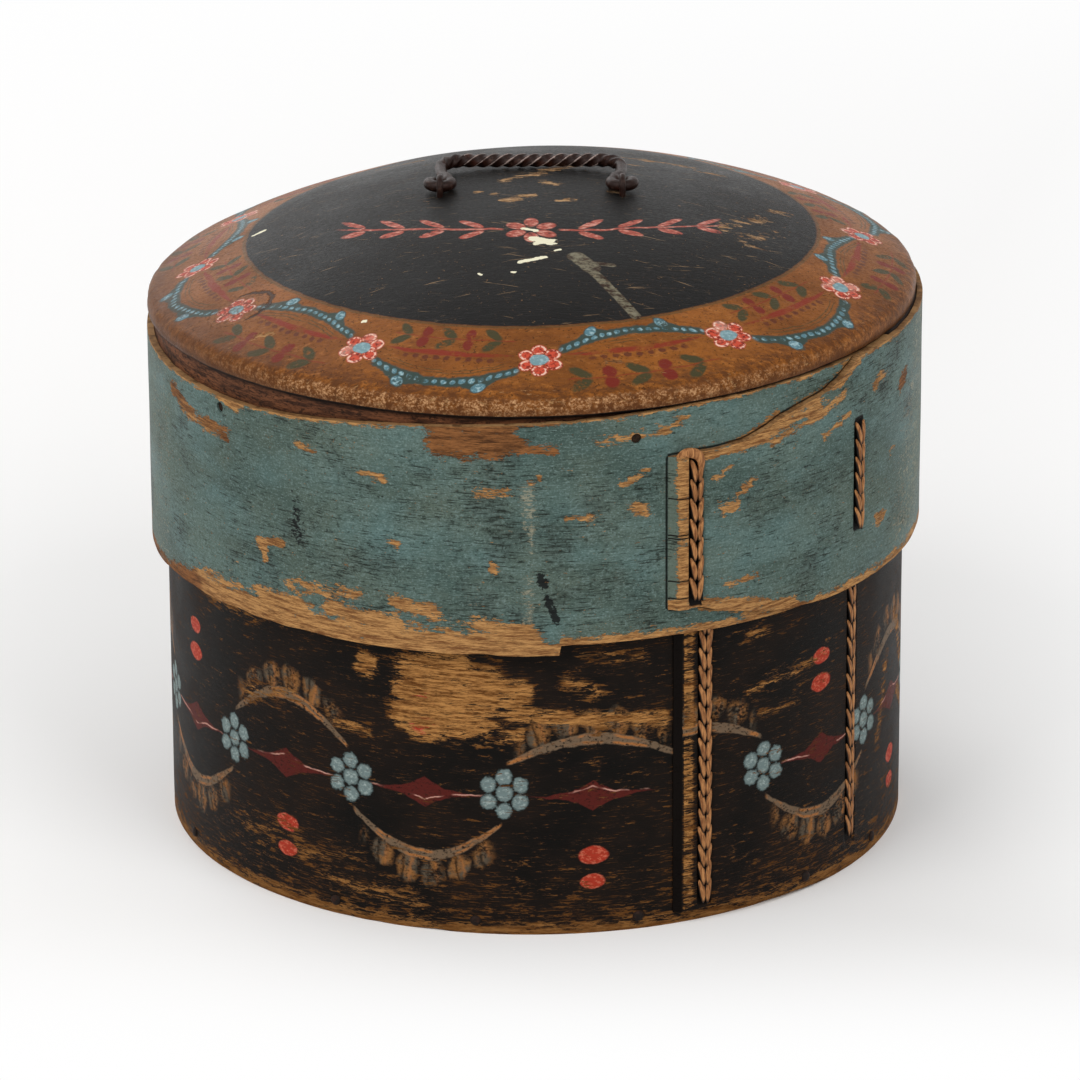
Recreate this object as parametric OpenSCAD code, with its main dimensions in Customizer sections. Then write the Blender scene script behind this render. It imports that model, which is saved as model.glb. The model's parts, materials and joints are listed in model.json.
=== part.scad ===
// Round painted bentwood box: a sewn body band on a nailed bottom board, and a deep
// lift-off lid with its own sewn band, a domed board and a twisted iron bail handle.
// Millimetres. The origin is the centre of the underside, +Z is up and the front faces -Y.
// Angles round the box run from the front towards +X.

/* [Body] */
// Inside diameter of the body band
body_inside_d = 311; // [260:1:380]
// Height of the body band
body_h = 211; // [180:1:280]
// Thickness of the body strip
body_strip_t = 3; // [2.6:0.1:4.5]
// Thickness that the body strip is shaved to at its outer end
body_end_t = 2.2; // [1.8:0.1:4]
// Thickness of the bottom board
bottom_t = 12; // [10:1:20]

/* [Lid band] */
// Room all round between the body lap and the lid band
lid_room = 1.5; // [1.2:0.1:4]
// Thickness of the lid strip
lid_strip_t = 3; // [2.6:0.1:4.5]
// Thickness that the lid strip is shaved to at its outer end
lid_end_t = 2.6; // [1.8:0.1:4]
// Width of the lid strip
lid_strip_w = 100; // [90:1:125]
// How far the top edge of the lid band has slipped down at the left
lid_top_slip = 11; // [0:0.5:13]
// How far the lower edge of the lid band has slipped down at the left
lid_foot_slip = 8; // [0:0.5:13]

/* [Lid board] */
// Depth of the shoulder that sits inside the lid band
shoulder_h = 24; // [20:1:34]
// Width of the shoulder round the hollow
shoulder_w = 22; // [16:1:40]
// How far the rim reaches out over the lid band
rim_reach = 3; // [1:0.1:4]
// Height of the upright edge of the rim
rim_h = 4; // [2:0.5:8]
// Radius that the rim is rounded to
rim_round = 6; // [3:0.5:9]
// Rise of the dome above the upright edge
dome_rise = 39; // [28:1:52]
// Wood left at the middle of the dome
dome_t = 18; // [12:1:26]

/* [Laps] */
// Angle of the body strip's outer end
body_lap_from = 22; // [12:1:32]
// Angle of the body strip's inner end
body_lap_to = 68; // [60:1:80]
// Angle of the lid strip's outer end
lid_lap_from = 19; // [12:1:32]
// Angle of the lid strip's inner end
lid_lap_to = 65; // [60:1:80]
// Length over which a lap's end narrows to a tongue
tongue_len = 94; // [60:1:110]
// Length of the tongue's straight end
tongue_flat = 17; // [8:1:25]
// How far the body tongue lies below the top edge
body_tongue_drop = 12; // [4:1:20]
// How far the body tongue lies above the lower edge
body_tongue_rise = 5.5; // [3:0.5:12]
// How far the lid tongue lies below the top edge
lid_tongue_drop = 20; // [6:1:26]
// How far the lid tongue lies above the lower edge
lid_tongue_rise = 12; // [4:1:20]
// Room between the two layers of a lap
lap_room = 0.1; // [0.05:0.05:0.3]

/* [Lacing] */
// Distance from a strip's outer end to its front lacing
front_seam_in = 12; // [9:0.5:20]
// Distance from a strip's inner end to its side lacing
side_seam_in = 30; // [15:1:45]
// Distance from one stitch to the next
stitch_pitch = 8; // [6.5:0.5:14]
// Length of one leaf of a stitch
leaf_len = 12; // [9:0.5:18]
// Width of one leaf of a stitch
leaf_w = 4; // [2:0.1:5]
// Lean of a leaf to either side
leaf_lean = 14; // [8:1:20]
// Depth of the groove that holds the stitches
groove_d = 1; // [0.6:0.1:1.4]
// How far the body's stitches stand proud
body_stitch_proud = 0.8; // [0.2:0.1:0.9]
// How far the lid's stitches stand proud
lid_stitch_proud = 1.6; // [0.4:0.1:3]
// Diameter of the root where it passes through the strips
root_d = 2; // [1.4:0.1:2.6]
// Thickness of the root along the inside
root_back_t = 1; // [0.6:0.1:1.4]
// Width of the root along the inside
root_back_w = 3; // [2.8:0.1:4.5]
// Distance from a tongue's edge to the first stitch
seam_margin = 2.5; // [1.5:0.5:8]
// Height of the body's side lacing above the base
body_side_foot = 14; // [8:1:40]
// Distance from the lid band's edges to its side lacing
lid_side_margin = 23; // [12:1:34]

/* [Nails and pegs] */
// Diameter of a nail's shank
nail_d = 2; // [1.4:0.1:3]
// Diameter of a nail's head
nail_head_d = 5; // [3.5:0.1:7]
// Height of a nail's head
nail_head_h = 1.2; // [0.6:0.1:2]
// Length of nail inside the bottom board
nail_bite = 12; // [8:1:20]
// Diameter of a peg
peg_d = 4; // [3:0.1:6]
// Length of peg inside the shoulder
peg_bite = 12; // [6:1:14]
// How far a peg is sunk below the face of the lid band
peg_sunk = 1; // [0.2:0.1:2]
// Distance of a peg below the top edge of the lid band
peg_drop = 9; // [6:0.5:10]

/* [Handle] */
// Distance between the middles of the two eyes
handle_span = 78; // [66:1:110]
// Distance from the hinge line to the middle of the grip
handle_reach = 37; // [28:1:50]
// Rounding of the corners of the bail
handle_round = 10; // [7:0.5:13]
// Thickness of the twisted grip across its flats
grip_w = 4.6; // [3.5:0.1:7]
// Length of one turn of the twist
twist_lead = 23; // [16:1:40]
// Thickness of the iron in an eye
eye_wire = 4.6; // [3.5:0.1:6]
// Radius of an eye at the middle of its iron
eye_r = 4.6; // [4.4:0.1:7]
// Length of the straight pivot in an eye
eye_pivot = 2; // [1:0.5:6]
// Thickness of a staple's wire in its arch
staple_wire = 2.8; // [2.6:0.1:3.4]
// Thickness that a staple's legs are drawn to
staple_leg = 2.4; // [1.8:0.1:2.5]
// Room between a staple's arch and the pivot
staple_room = 0.5; // [0.3:0.1:0.8]
// Length of a staple's bent-over tips
clench_len = 7; // [4:0.5:12]

/* [Fits] */
// Room round a board, a peg, a nail or a root in its hole
snug = 0.15; // [0.1:0.05:0.3]
// Room under what only rests on something
rest_room = 0.3; // [0.2:0.05:0.5]

/* [Hidden] */
$fn = 72;
round_fn = 360;
far = 2 * body_inside_d;
// How far the curve of a tongue runs on past the strip's edge, so that the two cross
ease_lift = 0.5;

// Angles of the nails round the foot of the body and of the pegs round the lid
nail_angles = [-155, -127, -98, -68, -32, -9, 16, 46, 65, 95, 122, 150, 178];
peg_angles = [-160, -106, -52, 15, 84, 140];

// A strip is a list: inside radius, thickness, end thickness, angles of its outer and inner ends
function strip_r(s) = s[0];
function strip_t(s) = s[1];
function strip_from(s) = s[3];
function strip_to(s) = s[4];
function strip_mid(s) = (strip_from(s) + strip_to(s)) / 2;
function strip_half(s) = (strip_to(s) - strip_from(s)) / 2;
// A strip is a two-centre spiral: its inside and outside faces step outwards over one turn
function inside_step(s) = strip_t(s) + lap_room;
function outside_step(s) = inside_step(s) + s[2] - strip_t(s);
function lap_outside_r(s) = strip_r(s) + strip_t(s) + outside_step(s);

body_strip = [body_inside_d / 2, body_strip_t, body_end_t, body_lap_from, body_lap_to];
lid_inside_r = lap_outside_r(body_strip) + lid_room;
lid_strip = [lid_inside_r, lid_strip_t, lid_end_t, lid_lap_from, lid_lap_to];
lid_outside_r = lap_outside_r(lid_strip);

// Radius of a face of a spiral strip at an angle, from the angle to the middle of its lap
function wrapped(a) = a - 360 * floor((a + 180) / 360);
function back_r(r, step, a) = step / 2 * sin(a) + sqrt(pow(r + step / 2, 2) - pow(step / 2 * cos(a), 2));
function inside_r(s, angle) =
    let (a = wrapped(angle - strip_mid(s)))
    abs(a) > 90 ? back_r(strip_r(s), inside_step(s), a)
    : a > strip_half(s) ? strip_r(s) + inside_step(s) : strip_r(s);
function outside_r(s, angle) =
    let (a = wrapped(angle - strip_mid(s)))
    abs(a) > 90 ? back_r(strip_r(s) + strip_t(s), outside_step(s), a)
    : a < -strip_half(s) ? strip_r(s) + strip_t(s) : lap_outside_r(s);
function arc_angle(length, r) = length / r * 180 / PI;

// Heights of the lid
rim_z = body_h + shoulder_h;
round_z = rim_z + rim_h;
dome_z = round_z + dome_rise;
lid_top_z = rim_z - rest_room;
lid_foot_z = lid_top_z - lid_strip_w;
function slipped(z, slip, angle) = z - slip * (1 - sin(angle)) / 2;
peg_z = [for (a = peg_angles) slipped(lid_top_z, lid_top_slip, a) - peg_drop];

// The dome is a sphere that runs into the rounding of the rim
rim_r = lid_inside_r + rim_reach;
round_r = rim_r - rim_round;
dome_r = (pow(round_r, 2) + pow(dome_rise, 2) - pow(rim_round, 2)) / (2 * (dome_rise - rim_round));
meet_r = round_r * dome_r / (dome_r - rim_round);
function dome_at(r) = dome_z - dome_r + sqrt(pow(dome_r, 2) - pow(r, 2));
hollow_rise = dome_z - dome_t - body_h;
hollow_mouth = lid_inside_r - shoulder_w;
hollow_r = (pow(hollow_mouth, 2) + pow(hollow_rise, 2)) / (2 * hollow_rise);
function hollow_at(r) = dome_z - dome_t - hollow_r + sqrt(pow(hollow_r, 2) - pow(r, 2));

// Seams
leaf_rise = leaf_len * cos(leaf_lean);
seam_w = 2 * leaf_len * sin(leaf_lean) + leaf_w;
body_front_angle = body_lap_from + arc_angle(front_seam_in, lap_outside_r(body_strip));
body_side_angle = body_lap_to - arc_angle(side_seam_in, lap_outside_r(body_strip));
lid_front_angle = lid_lap_from + arc_angle(front_seam_in, lid_outside_r);
lid_side_angle = lid_lap_to - arc_angle(side_seam_in, lid_outside_r);
lid_tongue_angle = lid_lap_from + arc_angle(tongue_len, lid_outside_r);
lid_tongue_top = slipped(lid_top_z, lid_top_slip, lid_tongue_angle) - lid_tongue_drop;
lid_tongue_foot = slipped(lid_foot_z, lid_foot_slip, lid_tongue_angle) + lid_tongue_rise;
body_seam_top = body_h - body_tongue_drop - seam_margin;
// A seam is a list: its strip, angle, lowest and highest point, and how far its stitches stand proud
body_front_seam = [
    body_strip, body_front_angle, body_tongue_rise + seam_margin, body_seam_top, body_stitch_proud
];
body_side_seam = [body_strip, body_side_angle, body_side_foot, body_seam_top, body_stitch_proud];
lid_front_seam = [
    lid_strip, lid_front_angle, lid_tongue_foot + seam_margin, lid_tongue_top - seam_margin, lid_stitch_proud
];
lid_side_seam = [
    lid_strip, lid_side_angle, slipped(lid_foot_z, lid_foot_slip, lid_side_angle) + lid_side_margin,
    slipped(lid_top_z, lid_top_slip, lid_side_angle) - lid_side_margin, lid_stitch_proud
];
function stitch_count(seam) = floor((seam[3] - seam[2] - leaf_rise) / stitch_pitch) + 1;
function stitch_foot(seam, i) = seam[2] + i * stitch_pitch;
function stitch_hole(seam, i) = stitch_foot(seam, i) + leaf_rise / 2;
function seam_top(seam) = stitch_foot(seam, stitch_count(seam) - 1) + leaf_rise;

// Handle: it lies back on the dome at rest, and its hinge line is level with the middle of its grip
eye_x = handle_span / 2;
eye_half_w = eye_pivot / 2 + eye_r + eye_wire / 2;
grip_corner = grip_w / 2 * 1.25;
hinge_z = rest_room + max(
    dome_at(eye_x - eye_half_w) + eye_wire / 2, dome_at(handle_reach) + grip_corner
);
arch_r = eye_wire / 2 + staple_room + staple_wire / 2;
// How far a staple's legs reach up into the ends of its arch
leg_weld = 0.5;
clench_z = hollow_at(norm([eye_x, arch_r + clench_len])) - rest_room - staple_wire / 2;

// Middle line of the bail as [across, out from the hinge line]
leg_foot = 2 * eye_r;
corner_out = handle_reach - handle_round;
corner_x = eye_x - handle_round;
leg_steps = 6;
corner_steps = 8;
grip_steps = 44;
bail_half = concat(
    [for (i = [0 : leg_steps]) [-eye_x, leg_foot + (corner_out - leg_foot) * i / leg_steps]],
    [for (i = [1 : corner_steps]) let (a = 180 - 90 * i / corner_steps)
        [-corner_x + handle_round * cos(a), corner_out + handle_round * sin(a)]]
);
bail_grip = [for (i = [1 : grip_steps - 1]) [corner_x * (2 * i / grip_steps - 1), handle_reach]];
bail_path = concat(
    bail_half, bail_grip,
    [for (i = [len(bail_half) - 1 : -1 : 0]) [-bail_half[i][0], bail_half[i][1]]]
);
bail_last = len(bail_path) - 1;
bail_length = [
    for (i = 0, run = 0; i <= bail_last; run = run + norm(bail_path[min(i + 1, bail_last)] - bail_path[i]), i = i + 1)
    run
];
grip_sides = 8;
// The iron is drawn thinner down each leg, towards its eye
leg_taper = 0.72;
function iron_size(i) =
    let (left = min(i, bail_last - i) / (len(bail_half) - 1))
    leg_taper + (1 - leg_taper) * min(1, left);
function bail_ring(i) =
    let (
        ahead = bail_path[min(i + 1, bail_last)] - bail_path[max(i - 1, 0)],
        side = [-ahead[1], ahead[0]] / norm(ahead),
        turn = 360 * bail_length[i] / twist_lead
    )
    [for (k = [0 : grip_sides - 1])
        let (
            a = 360 * k / grip_sides,
            r = iron_size(i) * (k % 2 == 0 ? grip_corner : grip_w / 2),
            flat = bail_path[i] + side * r * cos(a + turn)
        )
        [flat[0], flat[1], r * sin(a + turn)]];

// Part of the plane round the lap's middle, between two angles
module sector(from, to) {
    steps = 4;
    polygon(concat(
        [[0, 0]],
        [for (i = [0 : steps]) let (a = from + (to - from) * i / steps) far * [sin(a), -cos(a)]]
    ));
}

module back_half() {
    translate([-far, 0]) square([2 * far, far]);
}

// The layer under the lap and the way round the back
module strip_under(s) {
    rotate(strip_mid(s)) {
        intersection() {
            difference() {
                circle(strip_r(s) + strip_t(s), $fn = round_fn);
                circle(strip_r(s), $fn = round_fn);
            }
            sector(-90, strip_half(s));
        }
        intersection() {
            difference() {
                translate([outside_step(s) / 2, 0])
                    circle(strip_r(s) + strip_t(s) + outside_step(s) / 2, $fn = round_fn);
                translate([inside_step(s) / 2, 0])
                    circle(strip_r(s) + inside_step(s) / 2, $fn = round_fn);
            }
            back_half();
        }
    }
}

// The outer layer, from its end at the front round to the back
module strip_over(s) {
    rotate(strip_mid(s)) intersection() {
        difference() {
            circle(lap_outside_r(s), $fn = round_fn);
            circle(strip_r(s) + inside_step(s), $fn = round_fn);
        }
        sector(-strip_half(s), 90);
    }
}

// The space inside a strip, less some room
module strip_inside(s, room) {
    rotate(strip_mid(s)) {
        circle(strip_r(s) - room, $fn = round_fn);
        intersection() {
            translate([inside_step(s) / 2, 0])
                circle(strip_r(s) + inside_step(s) / 2 - room, $fn = round_fn);
            back_half();
        }
        intersection() {
            circle(strip_r(s) + inside_step(s) - room, $fn = round_fn);
            sector(strip_half(s) + arc_angle(2 * room, strip_r(s)), 90);
        }
    }
}

// What is cut off one edge of a lap to leave its tongue: up is 1 for the top edge, -1 for the foot
module tongue_cut(s, edge_z, depth, up) {
    half = tongue_len / 2;
    run = tongue_len - tongue_flat;
    fall = depth + ease_lift;
    ease_r = (pow(run, 2) + pow(fall, 2)) / (2 * fall);
    middle = strip_from(s) + arc_angle(half, lap_outside_r(s));
    rotate(middle) translate([0, 0, edge_z]) mirror([0, 0, up > 0 ? 0 : 1]) difference() {
        translate([-tongue_len, -lap_outside_r(s) - strip_t(s), -depth])
            cube([tongue_len + half, 8 * strip_t(s), depth + far]);
        translate([half, 0, ease_lift - ease_r]) rotate([90, 0, 0])
            cylinder(r = ease_r, h = lap_outside_r(s) + 2 * strip_t(s), $fn = round_fn);
    }
}

// Everything above or below a plane that dips to the left
module beyond_slope(z, slip, up) {
    translate([lid_outside_r, 0, z]) rotate([0, -atan2(slip, 2 * lid_outside_r), 0])
        translate([-2 * far, -far, up > 0 ? 0 : -far]) cube([3 * far, 2 * far, far]);
}

// A rod that points out of the box at an angle, from one radius to another
module spoke(angle, z, from_r, to_r, d) {
    rotate(angle) translate([0, -from_r, z]) rotate([90, 0, 0]) cylinder(h = to_r - from_r, d = d);
}

module leaf() {
    arc_r = (pow(leaf_len, 2) + pow(leaf_w, 2)) / (4 * leaf_w);
    intersection_for (side = [-1, 1])
        translate([side * (arc_r - leaf_w / 2), leaf_len / 2]) circle(arc_r);
}

// Chain stitches of split root: leaves outside, a run along the inside and a thread through each hole
module lacing(seam) {
    s = seam[0];
    floor_r = lap_outside_r(s) - groove_d;
    back_r = strip_r(s) + snug;
    last = stitch_count(seam) - 1;
    rotate(seam[1]) {
        translate([0, -floor_r - snug, 0]) rotate([90, 0, 0])
            linear_extrude(groove_d + seam[4] - snug)
                for (i = [0 : last], side = [-1, 1])
                    translate([0, stitch_foot(seam, i)]) rotate(side * leaf_lean) leaf();
        translate([-root_back_w / 2, -back_r - root_back_t, stitch_hole(seam, 0) - root_back_w / 2])
            cube([root_back_w, root_back_t, last * stitch_pitch + root_back_w]);
    }
    for (i = [0 : last])
        spoke(seam[1], stitch_hole(seam, i), back_r + root_back_t / 2, floor_r + groove_d, root_d);
}

// The groove, the holes and the channel inside that take a lacing
module lacing_cut(seam) {
    s = seam[0];
    last = stitch_count(seam) - 1;
    channel_w = root_back_w + 2 * snug;
    rotate(seam[1]) {
        translate([-seam_w / 2 - snug, -lap_outside_r(s) - strip_t(s), seam[2] - snug])
            cube([seam_w + 2 * snug, strip_t(s) + groove_d, seam_top(seam) - seam[2] + 2 * snug]);
        translate([-channel_w / 2, -strip_r(s) - root_back_t - 2 * snug, stitch_hole(seam, 0) - channel_w / 2])
            cube([channel_w, root_back_t + strip_t(s), last * stitch_pitch + channel_w]);
    }
    for (i = [0 : last])
        spoke(seam[1], stitch_hole(seam, i), strip_r(s) - strip_t(s), lap_outside_r(s), root_d + 2 * snug);
}

module bottom_board() {
    color([0.55, 0.40, 0.24]) difference() {
        linear_extrude(bottom_t) strip_inside(body_strip, snug);
        for (a = nail_angles)
            spoke(a, bottom_t / 2, inside_r(body_strip, a) - nail_bite - snug, far, nail_d + 2 * snug);
    }
}

module body_band() {
    color([0.10, 0.085, 0.075]) difference() {
        union() {
            linear_extrude(body_h) strip_under(body_strip);
            difference() {
                linear_extrude(body_h) strip_over(body_strip);
                tongue_cut(body_strip, body_h, body_tongue_drop, 1);
                tongue_cut(body_strip, 0, body_tongue_rise, -1);
            }
        }
        lacing_cut(body_front_seam);
        lacing_cut(body_side_seam);
        for (a = nail_angles)
            spoke(a, bottom_t / 2, inside_r(body_strip, a) - nail_bite, far, nail_d + 2 * snug);
    }
}

module body_front_lacing() {
    color([0.58, 0.37, 0.20]) lacing(body_front_seam);
}

module body_side_lacing() {
    color([0.58, 0.37, 0.20]) lacing(body_side_seam);
}

module bottom_nails() {
    color([0.25, 0.15, 0.10]) for (a = nail_angles) {
        seat_r = outside_r(body_strip, a) + snug;
        spoke(a, bottom_t / 2, inside_r(body_strip, a) - nail_bite, seat_r + nail_head_h / 2, nail_d);
        rotate(a) translate([0, -seat_r, bottom_t / 2]) rotate([90, 0, 0])
            cylinder(h = nail_head_h, d1 = nail_head_d, d2 = nail_head_d / 2);
    }
}

module lid_band() {
    low = lid_foot_z - lid_foot_slip;
    color([0.31, 0.43, 0.42]) difference() {
        union() {
            translate([0, 0, low]) linear_extrude(lid_top_z - low) strip_under(lid_strip);
            difference() {
                translate([0, 0, low]) linear_extrude(lid_top_z - low) strip_over(lid_strip);
                tongue_cut(lid_strip, lid_tongue_top + lid_tongue_drop, lid_tongue_drop, 1);
                tongue_cut(lid_strip, lid_tongue_foot - lid_tongue_rise, lid_tongue_rise, -1);
            }
        }
        beyond_slope(lid_top_z, lid_top_slip, 1);
        beyond_slope(lid_foot_z, lid_foot_slip, -1);
        lacing_cut(lid_front_seam);
        lacing_cut(lid_side_seam);
        for (i = [0 : len(peg_angles) - 1])
            spoke(peg_angles[i], peg_z[i], lid_inside_r - peg_bite, far, peg_d + 2 * snug);
    }
}

module lid_front_lacing() {
    color([0.58, 0.37, 0.20]) lacing(lid_front_seam);
}

module lid_side_lacing() {
    color([0.58, 0.37, 0.20]) lacing(lid_side_seam);
}

module lid_pegs() {
    color([0.35, 0.24, 0.15]) for (i = [0 : len(peg_angles) - 1]) {
        a = peg_angles[i];
        spoke(a, peg_z[i], lid_inside_r - peg_bite, outside_r(lid_strip, a) - peg_sunk, peg_d);
    }
}

module lid_board() {
    color([0.60, 0.36, 0.10]) difference() {
        union() {
            rotate_extrude($fn = round_fn) {
                intersection() {
                    translate([0, dome_z - dome_r]) circle(dome_r, $fn = 4 * round_fn);
                    translate([0, rim_z]) square([meet_r, dome_rise + rim_h]);
                }
                translate([round_r, round_z]) circle(rim_round);
                translate([0, rim_z]) square([rim_r, rim_h]);
            }
            translate([0, 0, body_h]) linear_extrude(shoulder_h + rim_h) strip_inside(lid_strip, snug);
        }
        translate([0, 0, dome_z - dome_t - hollow_r]) sphere(hollow_r, $fn = round_fn);
        for (x = [-eye_x, eye_x], y = [-arch_r, arch_r])
            translate([x, y, body_h]) cylinder(h = far, d = staple_leg + 2 * snug);
        for (i = [0 : len(peg_angles) - 1])
            spoke(peg_angles[i], peg_z[i], lid_inside_r - peg_bite - snug, far, peg_d + 2 * snug);
    }
}

// A wire arch over the hinge line, with both legs through the board and bent over underneath
module staple(x) {
    translate([x, 0, 0]) {
        translate([0, 0, hinge_z]) rotate([90, 0, 90])
            rotate_extrude(angle = 180) translate([arch_r, 0]) circle(d = staple_wire);
        for (side = [-1, 1]) {
            translate([0, side * arch_r, clench_z]) {
                cylinder(h = hinge_z - clench_z + leg_weld, d = staple_leg);
                sphere(d = staple_wire);
                rotate([-90 * side, 0, 0]) cylinder(h = clench_len, d = staple_leg);
            }
        }
    }
}

module left_staple() {
    color([0.20, 0.15, 0.12]) staple(-eye_x);
}

module right_staple() {
    color([0.20, 0.15, 0.12]) staple(eye_x);
}

// An eye lies flat with its pivot on the hinge line
module eye() {
    for (out = [0, 2 * eye_r])
        translate([-eye_pivot / 2, out, 0]) rotate([0, 90, 0]) cylinder(h = eye_pivot, d = eye_wire);
    for (side = [-1, 1])
        translate([side * eye_pivot / 2, eye_r, 0]) rotate(-90 * side)
            rotate_extrude(angle = 180) translate([eye_r, 0]) circle(d = eye_wire);
}

// The bail: one bar of square iron, twisted along its length
module bail() {
    rings = [for (i = [0 : bail_last]) bail_ring(i)];
    polyhedron(
        points = [for (ring = rings, p = ring) p],
        faces = concat(
            [[for (k = [0 : grip_sides - 1]) k]],
            [for (i = [0 : bail_last - 1], k = [0 : grip_sides - 1])
                let (a = i * grip_sides + k, b = i * grip_sides + (k + 1) % grip_sides)
                each [[a, a + grip_sides, b + grip_sides], [a, b + grip_sides, b]]],
            [[for (k = [grip_sides - 1 : -1 : 0]) bail_last * grip_sides + k]]
        )
    );
}

module handle() {
    color([0.20, 0.15, 0.12]) translate([0, 0, hinge_z]) {
        bail();
        for (x = [-eye_x, eye_x]) translate([x, 0, 0]) eye();
    }
}

bottom_board();
body_band();
body_front_lacing();
body_side_lacing();
bottom_nails();
lid_band();
lid_front_lacing();
lid_side_lacing();
lid_pegs();
lid_board();
left_staple();
right_staple();
handle();
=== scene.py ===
# Finish of a round painted bentwood box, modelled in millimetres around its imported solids
import json
import random
from math import asin, atan2, cos, degrees, exp, hypot, pi, radians, sin, sqrt

import bmesh
import bpy
import numpy as np
from mathutils import Matrix, Vector, noise


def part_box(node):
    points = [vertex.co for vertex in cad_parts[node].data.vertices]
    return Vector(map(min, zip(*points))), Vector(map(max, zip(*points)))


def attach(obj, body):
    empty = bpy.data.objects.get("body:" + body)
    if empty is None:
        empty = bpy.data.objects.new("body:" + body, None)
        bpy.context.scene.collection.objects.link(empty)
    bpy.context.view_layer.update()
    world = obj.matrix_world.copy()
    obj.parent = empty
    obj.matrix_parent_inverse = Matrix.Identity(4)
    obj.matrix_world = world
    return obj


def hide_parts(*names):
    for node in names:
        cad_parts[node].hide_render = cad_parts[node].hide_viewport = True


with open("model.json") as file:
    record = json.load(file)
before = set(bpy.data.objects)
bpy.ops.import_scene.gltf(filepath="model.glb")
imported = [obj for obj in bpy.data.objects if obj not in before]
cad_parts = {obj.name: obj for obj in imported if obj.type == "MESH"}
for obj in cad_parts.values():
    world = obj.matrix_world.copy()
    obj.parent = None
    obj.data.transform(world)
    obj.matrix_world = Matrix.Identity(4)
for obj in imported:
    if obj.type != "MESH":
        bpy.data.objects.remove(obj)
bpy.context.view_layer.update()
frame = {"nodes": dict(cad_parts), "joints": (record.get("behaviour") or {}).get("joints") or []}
mm = 0.001
print("frame:", len(frame["nodes"]), "nodes")


def rgb(text):  # "#rrggbb" as it looks on a screen, to the linear values of a socket
    parts = [int(text[i:i + 2], 16) / 255 for i in (1, 3, 5)]
    return tuple(c / 12.92 if c <= 0.04045 else ((c + 0.055) / 1.055) ** 2.4 for c in parts) + (1,)


class Palette(dict):  # named colours, to be laid over one another
    def __init__(self, **texts):
        super().__init__({name: rgb(text) for name, text in texts.items()})

    def coats(self, ground, *coats):  # each coat: where it lies, and its colour or the name of it
        paint = self.get(ground, ground)
        for mask, tone in coats:
            paint = layer(mask, paint, self.get(tone, tone))
        return paint


# Small helpers that put nodes into a tree

class Wire:  # a value in a node tree; arithmetic on it adds nodes
    def __init__(self, tree, socket):
        self.tree = tree
        self.socket = socket

    def math(self, operation, *others, clamp=False):
        return newNode(self.tree, "Math", (self, *others), operation=operation, use_clamp=clamp)

    def __add__(self, other):
        return self.math("ADD", other)

    def __sub__(self, other):
        return self.math("SUBTRACT", other)

    def __rsub__(self, other):
        return newNode(self.tree, "Math", (other, self), operation="SUBTRACT")

    def __mul__(self, other):
        return self.math("MULTIPLY", other)

    def __truediv__(self, other):  # by a value, or by a size along each axis
        if isinstance(other, tuple):
            return newNode(self.tree, "VectorMath", (self, other), operation="DIVIDE")
        return self.math("DIVIDE", other)

    def __abs__(self):
        return self.math("ABSOLUTE")

    def least(self, other):
        return self.math("MINIMUM", other)

    def most(self, other):
        return self.math("MAXIMUM", other)

    def fract(self):
        return self.math("FRACT")

    __radd__ = __add__
    __rmul__ = __mul__


def feed(slot, value):
    if isinstance(value, Wire):
        value.tree.links.new(value.socket, slot)
    else:
        slot.default_value = value


def newNode(tree, kind, inputs=(), out=0, **settings):  # inputs in their order, or by name or number
    node = tree.nodes.new("ShaderNode" + kind)
    for name, setting in settings.items():
        setattr(node, name, setting)
    given = inputs if isinstance(inputs, dict) else dict(enumerate(inputs))
    for name, value in given.items():
        feed(node.inputs[name], value)
    return Wire(tree, node.outputs[out])


def lengthOf(a, b):
    return a.math("MULTIPLY_ADD", a, b * b).math("SQRT")


def oval(x, y, halfW, halfH):  # 1 on its outline
    return lengthOf(x / halfW, y / halfH)


def repeated(run, spacing):  # distance from the middle of the nearest of evenly spaced places
    return ((run / spacing).fract() - 0.5) * spacing


def inside(distance, soft):  # 1 where a distance is below zero, with an edge that wide
    return distance.math("MULTIPLY_ADD", -1 / soft, 0.5, clamp=True)


def rise(value, low, high):  # smooth step from 0 at low to 1 at high
    return newNode(value.tree, "MapRange", (value, low, high, 0, 1), interpolation_type="SMOOTHSTEP")


def layer(mask, under, over):
    tree = next(value.tree for value in (mask, under, over) if isinstance(value, Wire))
    return newNode(tree, "Mix", {0: mask, 6: under, 7: over}, out=2, data_type="RGBA")


def noiseNode(position, size, detail=4, rough=0.55, colour=False):  # size of one feature, in mm
    inputs = {"Vector": position / size, "Scale": 1, "Detail": detail, "Roughness": rough}
    return newNode(position.tree, "TexNoise", inputs, out=1 if colour else 0)


def split(vector):
    node = vector.tree.nodes.new("ShaderNodeSeparateXYZ")
    feed(node.inputs[0], vector)
    return [Wire(vector.tree, out) for out in node.outputs]


def joined(x, y, z):
    return newNode(x.tree, "CombineXYZ", (x, y, z))


def attribute(tree, name):
    return newNode(tree, "Attribute", out="Fac", attribute_name=name)


def newMaterial(name):
    material = bpy.data.materials.new(name)
    material.use_nodes = True
    tree = material.node_tree
    position = newNode(tree, "TexCoord", out="Object") / (mm, mm, mm)
    return material, tree, tree.nodes["Principled BSDF"], position


def finish(shader, colour, roughness, height, shine, depth, strength):  # depth of the bump in mm
    bump = newNode(colour.tree, "Bump", {"Strength": strength, "Distance": depth * mm, "Height": height})
    sockets = {"Base Color": colour, "Roughness": roughness, "Specular IOR Level": shine, "Normal": bump}
    for name, value in sockets.items():
        feed(shader.inputs[name], value)


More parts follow.
